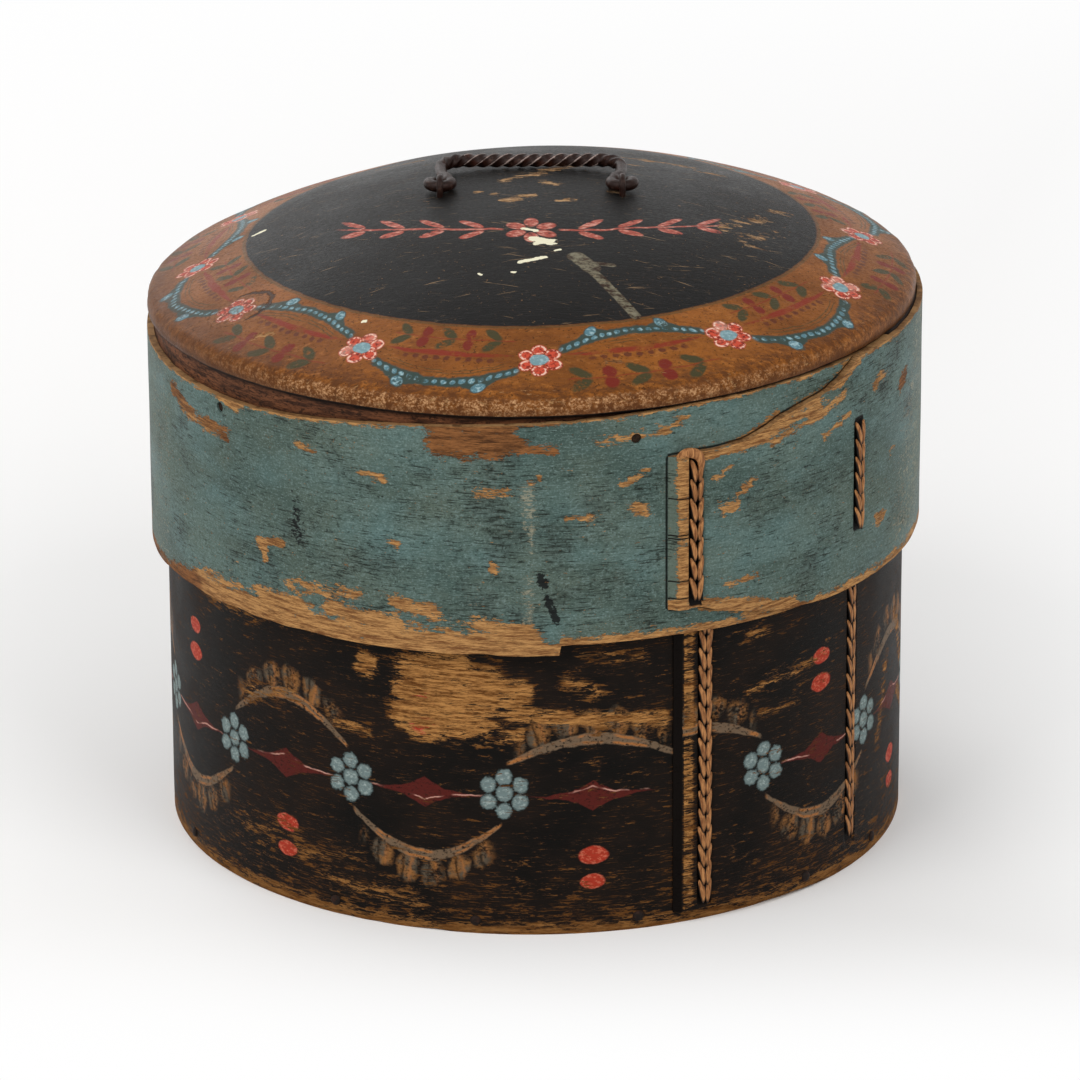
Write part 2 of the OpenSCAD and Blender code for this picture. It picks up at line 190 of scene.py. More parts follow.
def newGroup(name, inputs, outputs):
    tree = bpy.data.node_groups.new(name, "ShaderNodeTree")
    for way, sockets in (("INPUT", inputs), ("OUTPUT", outputs)):
        for label, kind in sockets.items():
            tree.interface.new_socket(label, in_out=way, socket_type="NodeSocket" + kind)
    source = tree.nodes.new("NodeGroupInput")
    sink = tree.nodes.new("NodeGroupOutput")
    return tree, [Wire(tree, source.outputs[label]) for label in inputs], sink.inputs


def useGroup(group, **given):
    tree = given["Position"].tree
    node = tree.nodes.new("ShaderNodeGroup")
    node.node_tree = group
    for label, value in given.items():
        feed(node.inputs[label], value)
    return {out.name: Wire(tree, out) for out in node.outputs}


# Effects that several materials share

def makeWoodGrain():  # Position comes in already divided by the size of one streak
    tree, (position, light, dark), sink = newGroup(
        "woodGrain", {"Position": "Vector", "Light": "Color", "Dark": "Color"},
        {"Color": "Color", "Height": "Float"})
    streak = noiseNode(position, (1, 1, 1), 6, 0.65)
    fine = noiseNode(position, (0.2, 0.2, 0.2), 4, 0.7)
    pores = noiseNode(position, (0.3, 0.3, 0.12), 3, 0.6)
    body = streak * 0.6 + fine * 0.4
    tone = layer(rise(body, 0.4, 0.58), dark, light)
    pore = rise(pores, 0.54, 0.67)
    poreTone = layer(0.55, dark, (0.01, 0.006, 0.004, 1))
    feed(sink["Color"], layer(pore * 0.85, tone, poreTone))
    feed(sink["Height"], body - pore * 0.35)
    return tree


def makeWornPaint():  # Field is how worn a place is; Bare shows wood, Rim is the thin paint round it
    tree, (field, position, ragged), sink = newGroup(
        "wornPaint", {"Field": "Float", "Position": "Vector", "Ragged": "Float"},
        {"Bare": "Float", "Rim": "Float"})
    coarse = noiseNode(position, (1, 1, 1), 6, 0.68) - 0.5
    fine = noiseNode(position, (0.2, 0.2, 0.2), 3, 0.6) - 0.5
    value = field + (coarse + fine * 0.45) * ragged
    feed(sink["Bare"], rise(value, 0.46, 0.54))
    feed(sink["Rim"], rise(value, 0.3, 0.5))
    return tree


def makeGrime():  # blotches of tone and small dark specks, on a Position in mm
    tree, (position, specks), sink = newGroup(
        "grime", {"Position": "Vector", "Specks": "Float"}, {"Tone": "Float", "Speck": "Float"})
    blotch = noiseNode(position, (38, 38, 30), 4, 0.6)
    feed(sink["Tone"], rise(blotch, 0.3, 0.7))
    speck = noiseNode(position, (2.4, 2.4, 1.7), 3, 0.6) + specks
    feed(sink["Speck"], rise(speck, 0.72, 0.8))
    return tree


woodGrain = makeWoodGrain()
wornPaint = makeWornPaint()
grime = makeGrime()


def wallAngle(x, y):  # degrees round the box from the front, towards +X
    return x.math("ARCTAN2", y * -1) * (180 / pi)


def petals(across, up, ringR):  # distance from a flower's middle, and place in the nearest of six petals
    ring = lengthOf(across, up)
    fold = ((up.math("ARCTAN2", across) * (3 / pi)).fract() - 0.5) * (pi / 3)
    return ring, ring * fold.math("COSINE") - ringR, ring * fold.math("SINE")


# Black body paint with flowers, arches, spears and double dots

bodyOrnament = {
    "firstFlower": 37.0, "spacing": 24.5, "segments": 14, "wallR": 159.5, "middleZ": 64.0,
    "lastExtra": 47.5,  # the last segment runs over the lap and is longer, in mm
    "petalRing": 7.7, "petalR": 3.75, "eyeR": 3.9,
    "archFoot": 13, "archRise": 17, "lastFlatter": 0.36, "firstArch": 76,
    "dabSpacing": 10.6, "dabHalfW": 5.3, "dabHalfH": 7.2, "dabOut": 7.8,
    "spearHalf": 29, "dots": ((28.5, 6.6, 4.0), (40.5, 5.6, 3.6)),  # height, half width and half height
}
# 0b0604 is painted shade, near black, in the lacings' beds and on the pared end of the lap
bodyColours = Palette(
    black="#0e0c0a", blackThin="#281d17", wood="#b27f48", woodDark="#5a3516", woodThin="#5a3819", bedAndShade="#0b0604",
    flower="#6c7c7b", flowerLight="#96a39f", flowerDark="#232c2c", arch="#6c5946", archEdge="#a0683a",
    dab="#8a5e34", dabGrey="#5b5042", spear="#561f1a", pale="#cf9a8a", dot="#a63524", dotLight="#c2614a",
)


def paintBodyOrnament(ground, angle, z, position):
    o, c = bodyOrnament, bodyColours
    perDegree = radians(1) * o["wallR"]
    shakeX, shakeZ, shakeTone = split(noiseNode(position, (7, 7, 7), 4, 0.6, colour=True))
    brush = noiseNode(position, (1.6, 1.6, 1.1), 3, 0.6)
    faded = noiseNode(position, (11, 11, 11), 2, 0.5)
    turn = (angle - o["firstFlower"]).math("FLOORED_MODULO", 360)
    segment = (turn / o["spacing"]).math("FLOOR").least(o["segments"] - 1)
    last = segment.math("GREATER_THAN", o["segments"] - 1.5)
    along = (turn - segment * o["spacing"]) * perDegree + (shakeX - 0.5) * 2.4
    width = last * o["lastExtra"] + o["spacing"] * perDegree
    side = segment.math("FLOORED_MODULO", 2) * 2 - 1  # 1: arch above the flowers
    up = z - o["middleZ"] + (shakeZ - 0.5) * 2.4
    # arches, with a second shorter one past the lap
    second = last * along.math("GREATER_THAN", o["firstArch"])
    share = along / (width * (1 - last) + last * o["firstArch"])
    late = (along - o["firstArch"]) / (width - o["firstArch"]) * 0.6 + 0.4
    share = share + second * (late - share)
    bow = (share * pi).math("SINE")
    fromArch = up * side - o["archFoot"] - bow * (1 - last * o["lastFlatter"]) * o["archRise"]
    stroke = abs(fromArch) - bow * 1.6 - 0.9
    arch = inside(stroke, 0.6) * rise(bow, 0.02, 0.12)
    edge = inside(abs(stroke + 0.9) - 0.55, 0.5)
    archTone = c.coats("arch", (edge * rise(faded, 0.45, 0.6), "archEdge"))
    # dabs that spread from the arch like feathers
    dabRun = along - (fromArch - 2) * (share - 0.5) * 0.7
    dabX = repeated(dabRun, o["dabSpacing"]) + (shakeZ - 0.5) * 5
    dabY = fromArch - o["dabOut"] + (shakeTone - 0.5) * 9
    dab = oval(dabX, dabY, o["dabHalfW"], o["dabHalfH"]) + (brush - 0.5) * 0.6
    dab = inside(dab - 0.85, 0.3) * rise(bow, 0.12, 0.4) * rise(brush + faded, 0.78, 1.12)
    dabTone = c.coats("dab", (rise(shakeX, 0.42, 0.58), "dabGrey"),
                      (inside(abs(dabX - 1.6) - 0.6, 0.8) * 0.7, "archEdge"),
                      (inside(abs(dabX + 1.4) - 0.5, 0.8) * rise(faded, 0.36, 0.56) * 0.8, "black"))
    # spears: a long tapered stroke with a diamond in the middle and a thin pale line
    spearX = along - (o["spacing"] * perDegree / 2 + last * 3.5)
    taper = (1 - abs(spearX) / o["spearHalf"]).most(0)
    reach = taper * taper * 4.6 + (1 - abs(spearX) / 9).most(0) * 2.2
    spear = inside(abs(up + 1.5) - reach, 0.5) * rise(taper, 0.0, 0.08)
    line = inside(abs(up + 1.0 - reach * 0.55 * side) - 0.28, 0.35) * rise(taper, 0.05, 0.3)
    coats = [(dab * 0.92, dabTone), (arch * rise(brush, 0.3, 0.5), archTone),
             (spear * rise(brush, 0.25, 0.5) * 0.9, "spear"), (line * rise(faded, 0.44, 0.56) * 0.8, "pale")]
    for height, halfW, halfH in o["dots"]:  # on the other side of the arch
        dot = oval(spearX, up * side + height, halfW, halfH)
        dotTone = c.coats("dot", (rise(brush + dot * 0.12, 0.56, 0.68), "dotLight"))
        coats.append((inside(dot - 0.95, 0.16) * 0.95, dotTone))
    # flowers at both ends of each segment
    ring, petalX, petalY = petals(along.least(width - along), up, o["petalRing"])
    flower = (lengthOf(petalX, petalY) - o["petalR"]).least(ring - o["eyeR"])
    hollow = rise(flower + (brush - 0.5) * 3.4, -1.3, 0.2)
    flowerTone = c.coats("flower", (rise(brush, 0.48, 0.66), "flowerLight"), (hollow, "flowerDark"))
    return c.coats(ground, *coats, (inside(flower + (brush - 0.5) * 1.8, 0.5), flowerTone))


def makeBodyPaint():
    material, tree, shader, position = newMaterial("blackBodyPaint")
    c = bodyColours
    x, y, z = split(position)
    worn = attribute(tree, "worn")
    wood = useGroup(woodGrain, Position=position / (13, 13, 1.3), Light=c["wood"], Dark=c["woodDark"])
    dirt = useGroup(grime, Position=position, Specks=0.02)
    wear = useGroup(wornPaint, Field=worn, Position=position / (10, 10, 1.9), Ragged=1.9)
    scratch = noiseNode(position, (8, 8, 0.45), 4, 0.65) + (worn + dirt["Tone"] * 0.3) * 0.32
    bare = wear["Bare"].most(rise(scratch, 0.725, 0.82) * 0.85)
    black = c.coats("black", (dirt["Tone"] * 0.45, "blackThin"), (wear["Rim"] * 0.7, "blackThin"))
    paint = paintBodyOrnament(black, wallAngle(x, y), z, position)
    thin = rise(worn, 0.5, 0.36)  # lightly rubbed places show dirty wood
    old = c.coats(wood["Color"], ((dirt["Tone"] * 0.3 + 0.7) * thin, "woodThin"),
                  (rise(z, 13, 3) * 0.6, "woodThin"))
    # painted shade along the lacings and on the pared end of the lap
    bedAndShade = rise(attribute(tree, "seam"), 0.3, 0.7)
    finish(shader, c.coats(paint, (bare, old), (bedAndShade, "bedAndShade")), bare * 0.2 + dirt["Tone"] * 0.12 + 0.44,
           wood["Height"] * 0.55 - bare * 0.4, shine=0.055, depth=0.35, strength=0.75)
    return material


# Blue paint of the lid band

# 0e0906 is painted shade in the lacings' beds and round the lap, and also the colour of the ridge's cracks
lidBandColours = Palette(
    blue="#546d6a", blueDeep="#3f514b", blueGrey="#5c6659", blueLight="#869d9a", grain="#1c211b",
    stain="#39403b", wood="#b98a55", woodDark="#6f4727", brown="#8a5a33", brownDark="#4f3019", dust="#9a957f",
    black="#121414", bedAndShade="#0e0906",
)
ridgeCracks = (194.5, 178.0, 176.6, 158.0, 150.5)  # heights of the cracks across the end of the lap


def makeLidBandPaint():
    material, tree, shader, position = newMaterial("blueLidBandPaint")
    c = lidBandColours
    worn = attribute(tree, "worn")
    grain = position / (12, 12, 1.1)
    wood = useGroup(woodGrain, Position=grain, Light=c["wood"], Dark=c["woodDark"])
    brown = useGroup(woodGrain, Position=grain, Light=c["brown"], Dark=c["brownDark"])
    dirt = useGroup(grime, Position=position, Specks=0.07)
    wear = useGroup(wornPaint, Field=worn, Position=position / (8, 8, 2.4), Ragged=1.5)
    chips = useGroup(wornPaint, Field=worn * 0.35 + dirt["Tone"] * 0.08 + 0.125,
                     Position=position / (3.6, 3.6, 1.5), Ragged=1.4)
    bare = wear["Bare"].most(chips["Bare"])
    cloud = noiseNode(position, (60, 60, 22), 3, 0.5)
    lines = noiseNode(position, (7, 7, 0.6), 4, 0.65)
    patches = noiseNode(position, (26, 26, 30), 4, 0.6)
    flecks = noiseNode(position, (2.2, 2.2, 1.5), 4, 0.7)
    fine = noiseNode(position, (1.0, 1.0, 0.7), 2, 0.6)
    ridge = rise(attribute(tree, "ridge"), 0.4, 0.6)
    line = rise(lines + patches * 0.4, 0.8, 0.85)
    # pale dust streaks near the front, and painted sheen at the far left and right of the band
    dusty = attribute(tree, "dusty") + (lines - 0.5) * 1.6 + (flecks - 0.5) * 1.6
    drip = attribute(tree, "drip") + (patches - 0.5) + (lines - 0.5) + (flecks - 0.5) * 2.2
    browned = rise(attribute(tree, "brown") + (cloud - 0.5) * 0.8, 0.35, 0.75)
    shaken = split(position)[2] + (cloud - 0.5) * 3
    crack = abs(shaken - ridgeCracks[0])
    for height in ridgeCracks[1:]:
        crack = crack.least(abs(shaken - height))
    crack = inside(crack - 0.3, 0.35) * ridge
    shadow = inside(abs(attribute(tree, "offLap") - 0.4) - 0.45, 0.4) * 0.9  # dark line round the lap
    # painted shade along the lacings, the ridge's real cracks, and the painted shadow round the lap
    bedAndShade = rise(attribute(tree, "seam"), 0.3, 0.7).most(crack).most(shadow)
    colour = c.coats(
        "blue", (rise(cloud, 0.35, 0.62), "blueDeep"), (dirt["Tone"] * 0.6, "blueGrey"),
        (rise(fine, 0.5, 0.72) * 0.4, "blueLight"), (rise(fine, 0.48, 0.3) * 0.5, "blueDeep"),
        (rise(flecks * 0.6 + lines * 0.8, 0.66, 0.54) * 0.24, "blueLight"),
        (rise(flecks * 0.5 + lines * 0.9, 0.72, 0.86) * 0.4, "blueDeep"),
        (rise(patches, 0.53, 0.68) * 0.34, "stain"), (ridge * 0.65, "blueGrey"), (line * 0.85, "grain"),
        (rise(flecks + patches * 0.4, 0.79, 0.88) * 0.65, "grain"), (rise(dusty, 0.6, 0.95) * 0.8, "dust"),
        (rise(drip, 0.52, 0.7) * 0.95, "black"), (dirt["Speck"] * 0.7, "grain"),
        (bare, layer(browned, wood["Color"], brown["Color"])), (bedAndShade, "bedAndShade"))
    finish(shader, colour, bare * 0.18 + dirt["Tone"] * 0.12 + 0.44,
           wood["Height"] * 0.5 - bare * 0.5 - line * 0.3 - crack, shine=0.1, depth=0.35, strength=0.85)
    return material


# Lid board: black middle, ochre border with garlands, flowers and sprigs

lidOrnament = {
    "flowers": (1.2, 34.8, 65.4, 95.4, 125.0, 154.6, 184.2, 213.8, 243.4, 273.0, 299.8, 330.7),  # uneven
    "spacing": 30.0, "ringR": 143.0, "discR": 122.5, "rubbedR": (163.3, 164.8),
    "petalRing": 6.1, "petalR": 3.15, "eyeW": 3.7, "eyeH": 3.1,
    "garlandFoot": 1.5, "garlandRise": 12.2, "beadSpacing": 3.4, "beadR": 1.15,
    "knobs": (0.29, 0.7), "knobR": 2.5, "knobOut": 4.2, "dotSpacing": 4.4, "dotR": 1.3,
    "sprigOut": 11.6, "sprigSpacing": 10.2, "sprigStart": 1.3,
    "stemY": -47.0, "stemCurve": 0.0034, "stemHalf": 84.0, "leafSpacing": 16.8, "rosetteRing": 7.4,
    "knot": (-122.2, -71.4), "knotW": 13.5, "knotH": 11.0,
}
lidColours = Palette(
    ochre="#8e541e", ochreDark="#603512", ochreLight="#a86d35", black="#0b0a09", blackGrey="#1b1918",
    wood="#b98d5c", woodDark="#4f2f19", grit="#c4966a", flower="#c24a34", flowerLight="#e8cdb8", blue="#718f95",
    bead="#557983", beadLight="#94b0b6", shade="#2a423f", stroke="#7c2a1a", leaf="#3f3a22", berry="#6d2418",
    dabs="#52261a", scratch="#c8a37a", stem="#a64f40", stemLight="#d19382", pale="#e9e3c6", putty="#7d7763",
    speck="#2c180a",
)
paleFlecks = [
    (1, -56, 8, -59, 2.6), (2, -60, 9, -57, 1.6), (-5, -76, 6, -72, 1.3), (-119, 7, -115, 9, 1.4),
    (-8, -84, -7, -84, 0.8), (-70, -107, -69, -107, 0.9), (-3, -46, 2, -48, 1.2), (-22, -84, -21, -85, 0.6),
    (10, -66, 12, -65, 0.7),
]
puttySmears = [
    (19, -71, 25, -80, 4.2), (24, -80, 43, -113, 2.4), (26, -76, 34, -77, 1.5),
]


def paintLidBorder(ground, angle, r, position, shakeX, shakeY):
    o, c = lidOrnament, lidColours
    pitch = radians(o["spacing"]) * o["ringR"]
    brush = noiseNode(position, (1.5, 1.5, 1.5), 3, 0.6)
    fade = noiseNode(position, (13, 13, 13), 3, 0.55)
    turn = (angle - o["flowers"][0]) / o["spacing"] + attribute(position.tree, "uneven")
    segment = turn.math("FLOOR")
    share = turn - segment
    side = segment.math("FLOORED_MODULO", 2) * 2 - 1  # 1: garland towards the rim
    along = share * pitch + shakeX
    out = r - o["ringR"] + shakeY
    bow = (share * pi).math("SINE")
    swing = out * side
    # sprig on the other side of the garland: pairs of leaves and of berries on a thin stem
    fromStem = swing + o["sprigOut"]
    here = rise(bow, 0.36, 0.46)
    stem = inside(abs(fromStem) - 0.3, 0.5) * here
    sprigRun = along + o["sprigStart"]
    odd = (sprigRun / o["sprigSpacing"]).math("FLOOR").math("FLOORED_MODULO", 2)
    cellX = repeated(sprigRun, o["sprigSpacing"])
    cellY = abs(fromStem) - 3.4
    leafX = cellX * 0.78 - cellY * 0.62
    leafY = cellX * 0.62 + cellY * 0.78
    leaf = inside(oval(leafX, leafY, 4.9, 2.3) - 0.95, 0.3) * odd * here
    berry = inside(oval(cellX, cellY + 0.3, 2.5, 3.2) - 0.95, 0.3) * (1 - odd) * rise(bow, 0.5, 0.6)
    # long red stroke along the chord with dark dabs beside it
    chord = inside(abs(out + 2.8) - bow * 1.9 + 0.4, 0.7) * rise(bow, 0.3, 0.6)
    dots = lengthOf(repeated(along, o["dotSpacing"]), out - 0.2) - o["dotR"] + (brush - 0.5) * 1.4
    dots = inside(dots, 0.6) * rise(bow, 0.55, 0.8)
    # garland: a dark stroke, a thin line inside it and a row of beads with two fans
    fromBow = swing - o["garlandFoot"] - bow * o["garlandRise"]
    run = rise(bow, 0.28, 0.4)
    knobX = abs(share - o["knobs"][0]).least(abs(share - o["knobs"][1])) * pitch
    knob = lengthOf(knobX, fromBow - o["knobOut"]) - o["knobR"]
    fan = (1 - knobX / 7).most(0)  # the stroke swells towards its knobs
    cord = abs(fromBow - fan * 1.9 + (fade - 0.5) * 2) - 2.5 - fan * 1.9
    cord = cord.least(knob - 0.5) + (brush - 0.5) * 1.2
    thread = inside(abs(abs(fromBow + 5.4) - 0.8) - 0.25, 0.4) * rise(bow, 0.45, 0.65)
    beadX = repeated(along, o["beadSpacing"])
    bead = lengthOf(beadX, fromBow + (fade - 0.5) * 3) - o["beadR"] + (brush - 0.5) * 1.4
    bead = inside(bead.least(knob + (brush - 0.5) * 1.6), 0.5) * run
    beadTone = c.coats("bead", (rise(brush, 0.46, 0.64), "beadLight"))
    # flowers
    across = share.least(1 - share) * pitch + shakeX * 0.5
    ring, petalX, petalY = petals(across, out, o["petalRing"])
    petal = lengthOf(petalX, petalY) - o["petalR"]
    scallop = inside(abs(petal + 0.75) - 0.4, 0.5) * rise(brush + ring * 0.02, 0.58, 0.7)
    petalTone = c.coats("berry", (rise(brush, 0.34, 0.56), "flower"),
                        (rise(fade, 0.5, 0.7) * 0.3, "flowerLight"), (scallop * 0.85, "flowerLight"))
    eye = oval(across, out, o["eyeW"], o["eyeH"]) - 1
    eyeTone = c.coats("blue", (rise(brush, 0.45, 0.7), "beadLight"))
    return c.coats(
        ground, (stem * 0.7, "stroke"), (leaf * rise(brush + fade, 0.66, 0.94), "leaf"),
        (berry * rise(brush + fade, 0.64, 0.9), "berry"),
        (chord * rise(fade + brush * 0.5, 0.48, 0.78) * 0.95, "stroke"), (dots * 0.8, "dabs"),
        (inside(cord, 0.9) * run * 0.92, "shade"), (thread * rise(fade, 0.36, 0.5) * 0.75, "leaf"),
        (bead * rise(fade + brush * 0.4, 0.52, 0.68), beadTone),
        (inside(petal + (brush - 0.5) * 0.8, 0.5), petalTone), (inside(eye, 0.15), eyeTone))


def smears(x, y, marks, shake):  # one mask for a few strokes, each a start, an end and a half width
    nearest = None
    for startX, startY, endX, endY, half in marks:
        stepX, stepY = endX - startX, endY - startY
        square = stepX * stepX + stepY * stepY
        share = (x - startX) * (stepX / square) + (y - startY) * (stepY / square)
        share = share.most(0).least(1)
        gap = lengthOf(x - startX - share * stepX, y - startY - share * stepY) / half
        nearest = gap if nearest is None else nearest.least(gap)
    return inside(nearest - 0.95 + shake, 0.15)


def paintLidSprig(ground, x, y, position):  # red leafy sprig across the black middle
    o, c = lidOrnament, lidColours
    brush = noiseNode(position, (3.2, 1.6, 2), 3, 0.6)
    shake = (noiseNode(position, (14, 14, 14), 2, 0.5) - 0.5) * 5
    acrossX = abs(x)
    fromStem = y - o["stemY"] - x * x * o["stemCurve"] + shake
    here = rise(acrossX, o["stemHalf"], o["stemHalf"] - 8)
    stem = inside(abs(fromStem) - 0.75, 0.6) * here * rise(acrossX, 11, 13)
    cellX = repeated(acrossX, o["leafSpacing"])
    cellY = abs(fromStem) - 5.2
    leafX = cellX * 0.8 + cellY * 0.6
    leafY = cellY * 0.8 - cellX * 0.6
    leaf = inside(oval(leafX, leafY, 6.6, 2.2) - 0.95, 0.16) * here * rise(acrossX, 14, 17)
    petalX, petalY = petals(x, y - o["stemY"], o["rosetteRing"])[1:]
    rosette = inside(oval(petalX, petalY, 4.6, 3.2) - 0.95, 0.2)
    tone = c.coats("stem", (rise(brush, 0.5, 0.64), "stemLight"))
    return layer(stem.most(leaf).most(rosette) * rise(brush, 0.3, 0.44) * 0.92, ground, tone)


def makeLidBoardPaint():
    material, tree, shader, position = newMaterial("ochreLidPaint")
    o, c = lidOrnament, lidColours
    x, y, z = split(position)
    shakeX, shakeY, shakeTone = split(noiseNode(position, (9, 9, 9), 3, 0.6, colour=True))
    shakeX = (shakeX - 0.5) * 3
    shakeY = (shakeY - 0.5) * 3
    r = lengthOf(x, y)
    angle = wallAngle(x, y)
    wood = useGroup(woodGrain, Position=position / (30, 3.2, 6), Light=c["wood"], Dark=c["woodDark"])
    dirt = useGroup(grime, Position=position, Specks=0.04)
    wear = useGroup(wornPaint, Field=attribute(tree, "worn"), Position=position / (11, 2.8, 4), Ragged=1.5)
    mottle = noiseNode(position, (5, 2.6, 4), 6, 0.75)
    grit = noiseNode(position, (1.5, 1.3, 1.3), 4, 0.7)
    fine = noiseNode(position, (0.9, 0.9, 0.8), 2, 0.6)
    ochre = c.coats(
        "ochre", (dirt["Tone"] * 0.7, "ochreDark"), (rise(mottle, 0.52, 0.7) * 0.6, "ochreLight"),
        (rise(mottle, 0.48, 0.34) * 0.8, "ochreDark"),
        (rise(r, 150, 163) * rise(mottle, 0.6, 0.44) * 0.7, "woodDark"),
        (rise(grit + mottle * 0.3, 0.7, 0.82) * 0.75, "speck"), (dirt["Speck"] * 0.8, "speck"))
    front = rise(abs(angle + 4), 62, 24)
    rubbed = rise(r + (mottle - 0.5) * 4 + (grit - 0.5) * 2, *o["rubbedR"])  # the rim has lost its paint
    rubbed = rubbed * rise(mottle + (grit - 0.5) * 0.4, 0.42, 0.58)
    rubbedTone = c.coats("ochreDark", (rise(fine * 0.5 + grit * 0.5, 0.4, 0.66), "grit"))
    shady = rise(abs(angle + 78), 46, 22) * rise(mottle, 0.35, 0.6)  # painted shade: the left side of the border and rim is darker
    # painted shade on the rim's side and painted shadow under the rim, less at the front
    low = rise(attribute(tree, "low"), 0.1, 0.9)
    border = c.coats(paintLidBorder(ochre, angle, r, position, shakeX, shakeY),
                     (rubbed * (front * 0.75 + 0.2), rubbedTone),
                     (shady * (rise(r, 148, 160) * 0.3 + 0.16), "woodDark"),
                     (low * (0.85 - front * 0.4), "woodDark"))
    black = c.coats("black", (dirt["Tone"] * 0.6 + rise(mottle, 0.5, 0.8) * 0.3, "blackGrey"),
                    (rise(grit + dirt["Tone"] * 0.06, 0.69, 0.78) * 0.5, "grit"))
    disc = inside(r - o["discR"] + shakeY * 0.5, 1.0)
    line = inside(abs(r - o["discR"] - 0.8 + shakeY * 0.5) - 0.6, 0.8)
    putty = smears(x, y, puttySmears, (mottle - 0.5) * 0.9)
    puttyTone = c.coats("speck", (rise(mottle, 0.4, 0.6), "putty"))
    old = c.coats(wood["Color"], (dirt["Tone"] * 0.5, "woodDark"),
                  (disc * rise(mottle, 0.4, 0.6) * 0.7, "scratch"))
    coats = [(disc, paintLidSprig(black, x, y, position)), (line * 0.55, "leaf"), (putty * 0.92, puttyTone),
             (smears(x, y, paleFlecks, (mottle - 0.5) * 3.2), "pale"), (wear["Bare"] * 0.9, old)]
    for run in (x * 0.34 + y, y - x * 0.22):  # fine scratches run across the disc in two directions
        hair = noiseNode(joined(x, run, z), (19, 0.9, 9), 3, 0.6)
        coats.append((rise(hair, 0.67, 0.73) * disc * 0.4, "scratch"))
    fleck = rise(noiseNode(position, (1.7, 1.0, 1.2), 2, 0.5), 0.68, 0.74)
    knotX, knotY = x - o["knot"][0], y - o["knot"][1]
    knot = oval(knotX, knotY, o["knotW"], o["knotH"]) - 1 + (shakeTone - 0.5) * 0.5 + (grit - 0.5) * 0.25
    knotSide = rise(knotX * 0.07 + (shakeTone - 0.5) * 2.4, -0.15, 0.5)
    crack = inside(abs(knot) - knotSide * 0.07 - 0.015, 0.05) * rise(mottle + knotSide * 0.3, 0.46, 0.6)
    coats += [(fleck * disc * rise(mottle, 0.5, 0.6) * 0.6, "wood"),
              (inside(knot, 0.2) * rise(grit, 0.42, 0.6) * 0.6, "woodDark"), (crack * 0.9, "speck")]
    rough = wear["Bare"] * 0.2 + dirt["Tone"] * 0.1 + (grit - 0.5) * 0.5 + 0.38
    height = wood["Height"] * 0.4 - wear["Bare"] * 0.4 + mottle * 0.6 + grit * 0.3 - crack
    finish(shader, c.coats(border, *coats), rough, height, shine=0.075, depth=0.4, strength=0.7)
    return material


# Plain woods, root and iron

plainWoods = {
    "bareWood": {"light": "#a98256", "dark": "#6b4a2c", "streak": (28, 28, 2.4), "rough": 0.72, "specks": 0.06},
    "boardWood": {"light": "#9b7347", "dark": "#573a22", "streak": (34, 4, 5), "rough": 0.72, "specks": 0.06},
    "grimyWood": {"light": "#805033", "dark": "#2e190e", "streak": (16, 16, 2.4), "rough": 0.75,
                  "specks": 0.15},
    "pegWood": {"light": "#3a281a", "dark": "#150d08", "streak": (2, 2, 2), "rough": 0.8, "specks": 0.06},
}


def makePlainWood(name):
    look = plainWoods[name]
    material, tree, shader, position = newMaterial(name)
    c = Palette(light=look["light"], dark=look["dark"], speck="#170d07", shadow="#070403")
    wood = useGroup(woodGrain, Position=position / look["streak"], Light=c["light"], Dark=c["dark"])
    dirt = useGroup(grime, Position=position, Specks=look["specks"])
    # painted shadow where the low field is set, under the lid board's rim
    colour = c.coats(wood["Color"], (dirt["Tone"] * 0.45, "dark"), (dirt["Speck"] * 0.7, "speck"),
                     (rise(attribute(tree, "low"), 0.1, 0.8) * 0.92, "shadow"))
    rough = dirt["Tone"] * -0.08 + look["rough"]
    finish(shader, colour, rough, wood["Height"], shine=0.15, depth=0.3, strength=0.7)
    return material


# 0b0401 is painted shade between the roots
rootColours = Palette(light="#b67f4d", mid="#6f421f", dark="#0b0401")


def makeRoot():
    material, tree, shader, position = newMaterial("splitRoot")
    fibre = noiseNode(position, (0.8, 0.8, 9), 4, 0.65)
    blotch = noiseNode(position, (5, 5, 8), 3, 0.5)
    # painted shade from the hollow field, darkest where the roots press together
    hollow = attribute(tree, "hollow") + (fibre - 0.5) * 0.6
    colour = rootColours.coats("mid", (rise(fibre, 0.36, 0.64), "light"),
                               (rise(blotch, 0.5, 0.72) * 0.5, "mid"), (rise(hollow, 0.26, 0.82), "dark"))
    finish(shader, colour, fibre * 0.3 + 0.36, fibre, shine=0.22, depth=0.25, strength=0.8)
    return material


# the light edge colour of wrought iron is rubbed iron and also a painted highlight on the grip's ridges
irons = {
    "wroughtIron": {"colours": Palette(base="#22120d", light="#48332a", rust="#381c13", edge="#a5928a"),
                    "metal": 0.1, "rough": 0.24, "shine": 0.14},
    "rustyIron": {"colours": Palette(base="#150b06", light="#331b0f", rust="#3a1e10", edge="#331b0f"),
                  "metal": 0.1, "rough": 0.56, "shine": 0.2},
}


def makeIron(name):
    look = irons[name]
    material, tree, shader, position = newMaterial(name)
    scale = noiseNode(position, (2.2, 2.2, 2.2), 5, 0.65)
    blotch = noiseNode(position, (6, 6, 6), 3, 0.55)
    # light ridges on the grip: rubbed iron, and a painted highlight
    rubbed = rise(attribute(tree, "edge") + (scale - 0.5) * 0.7, 0.72, 1.05)
    colour = look["colours"].coats("base", (rise(scale, 0.52, 0.74), "light"),
                                   (rise(blotch, 0.52, 0.7) * 0.7, "rust"), (rubbed, "edge"))
    shader.inputs["Metallic"].default_value = look["metal"]
    finish(shader, colour, scale * 0.25 + look["rough"], scale + blotch * 0.5,
           shine=look["shine"], depth=0.35, strength=0.7)
    return material


